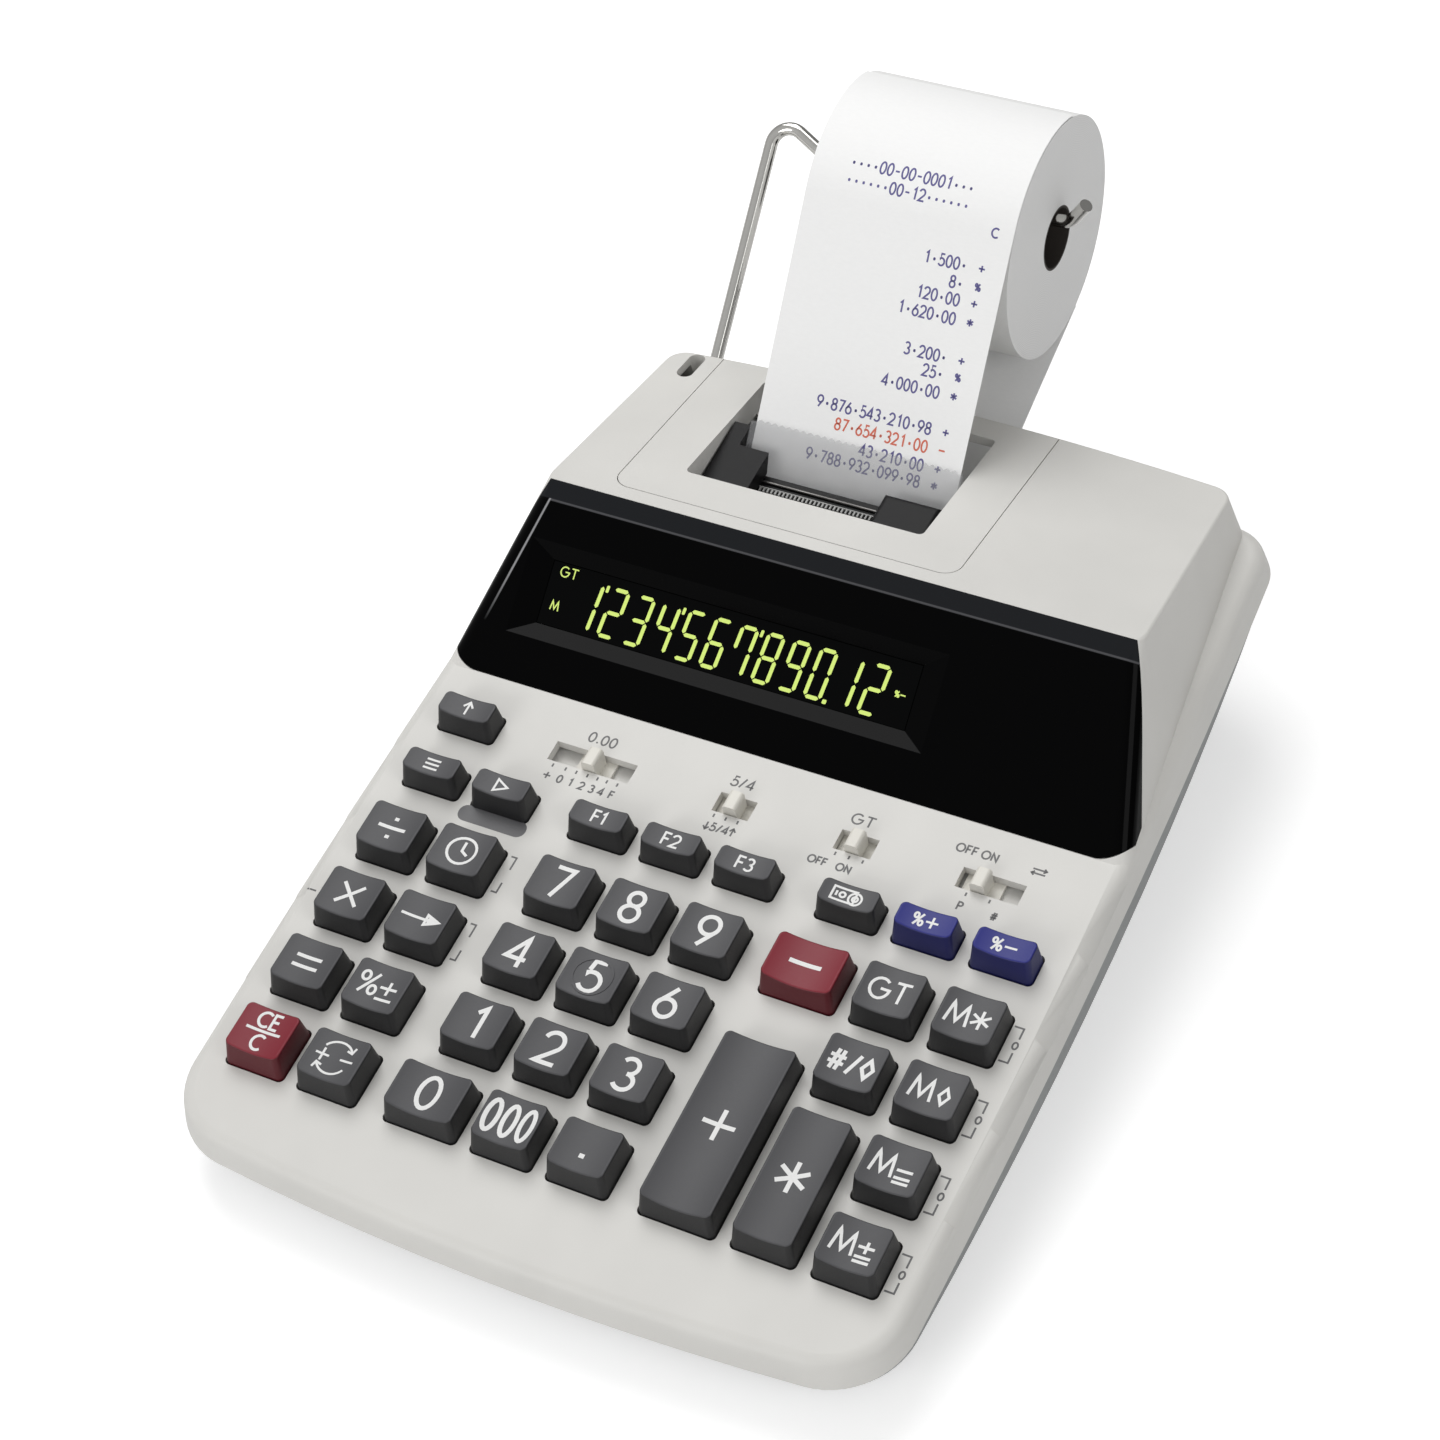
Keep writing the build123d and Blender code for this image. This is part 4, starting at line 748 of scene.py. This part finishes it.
def showFigures():
    d = display
    half = d["bar"] / 2
    outlines = []
    middle = (d["low"] + d["high"]) / 2
    for i, figure in enumerate(d["text"]):
        x0 = d["left"] + i * d["pitch"] + half
        x1 = x0 + d["width"] - d["bar"]
        y0, y1 = d["low"] + half, d["high"] - half
        ends = {"a": (x0, y1, x1, y1), "b": (x1, middle, x1, y1), "c": (x1, y0, x1, middle),
                "d": (x0, y0, x1, y0), "e": (x0, y0, x0, middle), "f": (x0, middle, x0, y1),
                "g": (x0, middle, x1, middle)}
        outlines += [bar(*ends[s], half, d["gap"]) for s in segments[figure]]
        if i == d["point"]:
            outlines.append(smallBox(x1, d["low"], d["pointBox"]))
        if i in d["ticks"]:
            outlines.append(smallBox(x1, d["high"], d["tickBox"]))
    outlines = [[(x + d["lean"] * (y - middle), y) for x, y in outline] for outline in outlines]
    figures = plateMesh("display_figures", outlines, d["layer"])
    lines = []
    for text, height, x, y in d["signs"]:
        lines += moved(writeSigns(text, height), x, y)
    marks = lineMesh("display_signs", lines, d["signWidth"], d["layer"])
    for piece in (figures, marks):
        layOn(piece, faceFrame, "lcd_module")
        settle(piece, inks["glow"], "case")


showFigures()
print("display lit")

# toothed rack and a thin guide rod on the rail in the paper mouth, in millimetres on the deck
rack = {"left": -36.0, "right": 20.0, "pitch": 1.1, "tooth": 0.45, "front": 130.4, "back": 131.7,
        "overlap": 0.1, "spine": 131.95, "low": 9.95, "high": 10.6}
rod = {"radius": 0.4, "y": 133.6, "z": 10.35, "sides": 16, "colour": (0.16, 0.155, 0.15)}


def boxMesh(name, boxes):
    points, faces = [], []
    sides = ((0, 3, 2, 1), (4, 5, 6, 7), (0, 1, 5, 4), (1, 2, 6, 5), (2, 3, 7, 6), (3, 0, 4, 7))
    for (x0, y0, z0), (x1, y1, z1) in boxes:
        start = len(points)
        points += [(x, y, z) for z in (z0, z1) for x, y in ((x0, y0), (x1, y0), (x1, y1), (x0, y1))]
        faces += [tuple(start + i for i in side) for side in sides]
    return newPiece(name, points, faces)


def buildRack():
    r = rack
    count = int((r["right"] - r["left"]) / r["pitch"])
    boxes = [((r["left"], r["back"], r["low"]), (r["right"], r["spine"], r["high"]))]
    for i in range(count):
        x = r["left"] + (i + 0.5) * r["pitch"]
        boxes.append(((x - r["tooth"] / 2, r["front"], r["low"]),
                      (x + r["tooth"] / 2, r["back"] + r["overlap"], r["high"])))
    piece = boxMesh("printer_rack", boxes)
    piece.data.transform(deckFrame)
    settle(piece, inks["rack"], "case")


def buildRod():
    bpy.ops.object.select_all(action="DESELECT")
    bpy.ops.mesh.primitive_cylinder_add(vertices=rod["sides"], radius=rod["radius"] * mm,
                                        depth=(rack["right"] - rack["left"]) * mm)
    piece = bpy.context.object
    piece.name = "guide_rod"
    middle = Vector(((rack["left"] + rack["right"]) / 2, rod["y"], rod["z"])) * mm
    piece.data.transform(deckFrame @ Matrix.Translation(middle) @ Matrix.Rotation(pi / 2, 4, "Y"))
    darkRod = metalFinish("darkRod", rod["colour"], 0.3, grain=0.6, stretch=(0.1, 1, 1))
    settle(piece, darkRod, "case")


buildRack()
buildRod()
print("printer details done")

# printed lines on the paper: distance up the paper, figures, sign
tape = {"height": 2.9, "pitch": 2.0, "narrow": 0.85, "width": 0.46, "layer": (-0.015, 0.02),
        "right": 18.4, "headRight": 15.5, "signX": 22.2, "signShare": 0.62,
        "violet": [(76.9, "1:500:", "+"), (72.3, "8:", "%"), (68.1, "120:00", "+"), (63.4, "1:620:00", "*"),
                   (53.7, "3:200:", "+"), (49.5, "25:", "%"), (44.7, "4:000:00", "*"),
                   (35.5, "9:876:543:210:98", "+"), (26.1, "43:210:00", "+"),
                   (21.9, "9:788:932:099:98", "*")],
        "red": [(30.9, "87:654:321:00", "-")],
        "heads": [(95.6, "::::00h00h0001:::"), (91.2, "::::::00h12::::::")],
        "clear": ("C", 2.3, 23.6, 86.2)}


def tapeRow(text, right, along):
    row = writeSigns(text, tape["height"], pitch=tape["pitch"], narrow=tape["narrow"])
    return moved(row, right, along)


def sumLines(rows):
    lines = []
    for along, text, sign in rows:
        lines += tapeRow(text, tape["right"], along)
        lines += moved(writeSigns(sign, tape["height"] * tape["signShare"]), tape["signX"], along)
    return lines


def headLines():
    lines = []
    for along, text in tape["heads"]:
        lines += tapeRow(text, tape["headRight"], along)
    sign, height, x, along = tape["clear"]
    return lines + moved(writeSigns(sign, height), x, along)


def printTape(name, lines, ink):
    piece = lineMesh(name, lines, tape["width"], tape["layer"])
    layOn(piece, paperFrame, "paper_strip")
    settle(piece, inks[ink], "case")


printTape("tape_lines", sumLines(tape["violet"]) + headLines(), "violet")
printTape("tape_red_line", sumLines(tape["red"]), "red")
print("paper printed")

# floor, lights and camera
stage = {"floor": 6.0, "floorColour": 0.82, "floorLift": 0.45,
         "sky": (0.12, 0.56), "skyWay": (-0.5, -0.8, 0.33)}


# a matt floor that looks brighter to the camera alone
def buildStage():
    bpy.ops.object.select_all(action="DESELECT")
    bpy.ops.mesh.primitive_plane_add(size=stage["floor"], location=(0, 0, 0))
    floor = bpy.context.object
    floor.name = "floor"
    finish = bpy.data.materials.new("paleFloor")
    finish.use_nodes = True
    tree = finish.node_tree
    tree.nodes.clear()
    output = addNode(finish, "ShaderNodeOutputMaterial")
    matt = addNode(finish, "ShaderNodeBsdfDiffuse", Color=(*[stage["floorColour"]] * 3, 1))
    lift = addNode(finish, "ShaderNodeEmission", Color=(1, 1, 1, 1), Strength=stage["floorLift"])
    both = addNode(finish, "ShaderNodeAddShader")
    mix = addNode(finish, "ShaderNodeMixShader")
    wire(finish, matt.outputs[0], both.inputs[0])
    wire(finish, lift.outputs[0], both.inputs[1])
    wire(finish, seenRays(tree), mix.inputs[0])
    wire(finish, matt.outputs[0], mix.inputs[1])
    wire(finish, both.outputs[0], mix.inputs[2])
    wire(finish, mix.outputs[0], output.inputs["Surface"])
    floor.data.materials.append(finish)


# 1 on rays straight from the camera
def seenRays(tree):
    return tree.nodes.new("ShaderNodeLightPath").outputs["Is Camera Ray"]


# white to the camera, and brighter on one side to everything else
def buildSky():
    world = bpy.data.worlds.new("studio")
    bpy.context.scene.world = world
    world.use_nodes = True
    tree = world.node_tree
    background = tree.nodes["Background"]
    background.inputs["Color"].default_value = (1, 1, 1, 1)
    way = tree.nodes.new("ShaderNodeTexCoord").outputs["Generated"]
    towards = tree.nodes.new("ShaderNodeVectorMath")
    towards.operation = "DOT_PRODUCT"
    towards.inputs[1].default_value = stage["skyWay"]
    tree.links.new(way, towards.inputs[0])
    level = tree.nodes.new("ShaderNodeMapRange")
    level.inputs["From Min"].default_value = -1.0
    level.inputs["To Min"].default_value, level.inputs["To Max"].default_value = stage["sky"]
    tree.links.new(towards.outputs["Value"], level.inputs["Value"])
    seen = tree.nodes.new("ShaderNodeMix")
    seen.inputs[3].default_value = 1.0
    tree.links.new(seenRays(tree), seen.inputs[0])
    tree.links.new(level.outputs["Result"], seen.inputs[2])
    tree.links.new(seen.outputs[0], background.inputs["Strength"])


# soft lamps: name, place, size, watts
lampAim = Vector((0, 0, 0.03))
lamps = [("topLamp", (-0.4, 0.5, 1.1), 0.8, 8.2),
         ("frontLamp", (-0.4, -1.2, 0.5), 0.6, 4.2),
         ("rightLamp", (1.1, -0.4, 0.7), 0.7, 3.2)]


def buildLamps():
    for name, place, size, watts in lamps:
        bpy.ops.object.light_add(type="AREA", location=place)
        lamp = bpy.context.object
        lamp.name = name
        lamp.data.size = size
        lamp.data.energy = watts
        aim = lampAim - Vector(place)
        lamp.rotation_euler = aim.to_track_quat("-Z", "Y").to_euler()


# the view, with its turns measured on the key deck
shot = {"azimuth": 37.64, "elevation": 51.56, "roll": -14.4, "place": (0.2976, -0.4938, 0.6343),
        "lens": 84.7, "sensor": 36.0, "nearest": 0.01}


def buildCamera():
    a, e, r = (radians(shot[k]) for k in ("azimuth", "elevation", "roll"))
    back = Vector((sin(a) * cos(e), -cos(a) * cos(e), sin(e)))
    right = Vector((cos(a), sin(a), 0))
    up = back.cross(right)
    turned = Matrix((cos(r) * right + sin(r) * up, -sin(r) * right + cos(r) * up, back)).transposed()
    turn = Matrix.Rotation(radians(deck["tilt"]), 3, "X") @ turned
    bpy.ops.object.camera_add(location=shot["place"])
    camera = bpy.context.object
    camera.matrix_world = Matrix.Translation(shot["place"]) @ turn.to_4x4()
    camera.data.lens = shot["lens"]
    camera.data.sensor_width = shot["sensor"]
    camera.data.clip_start = shot["nearest"]
    bpy.context.scene.camera = camera


buildStage()
buildSky()
buildLamps()
buildCamera()
bpy.context.scene.view_settings.view_transform = "Standard"
print("stage set")
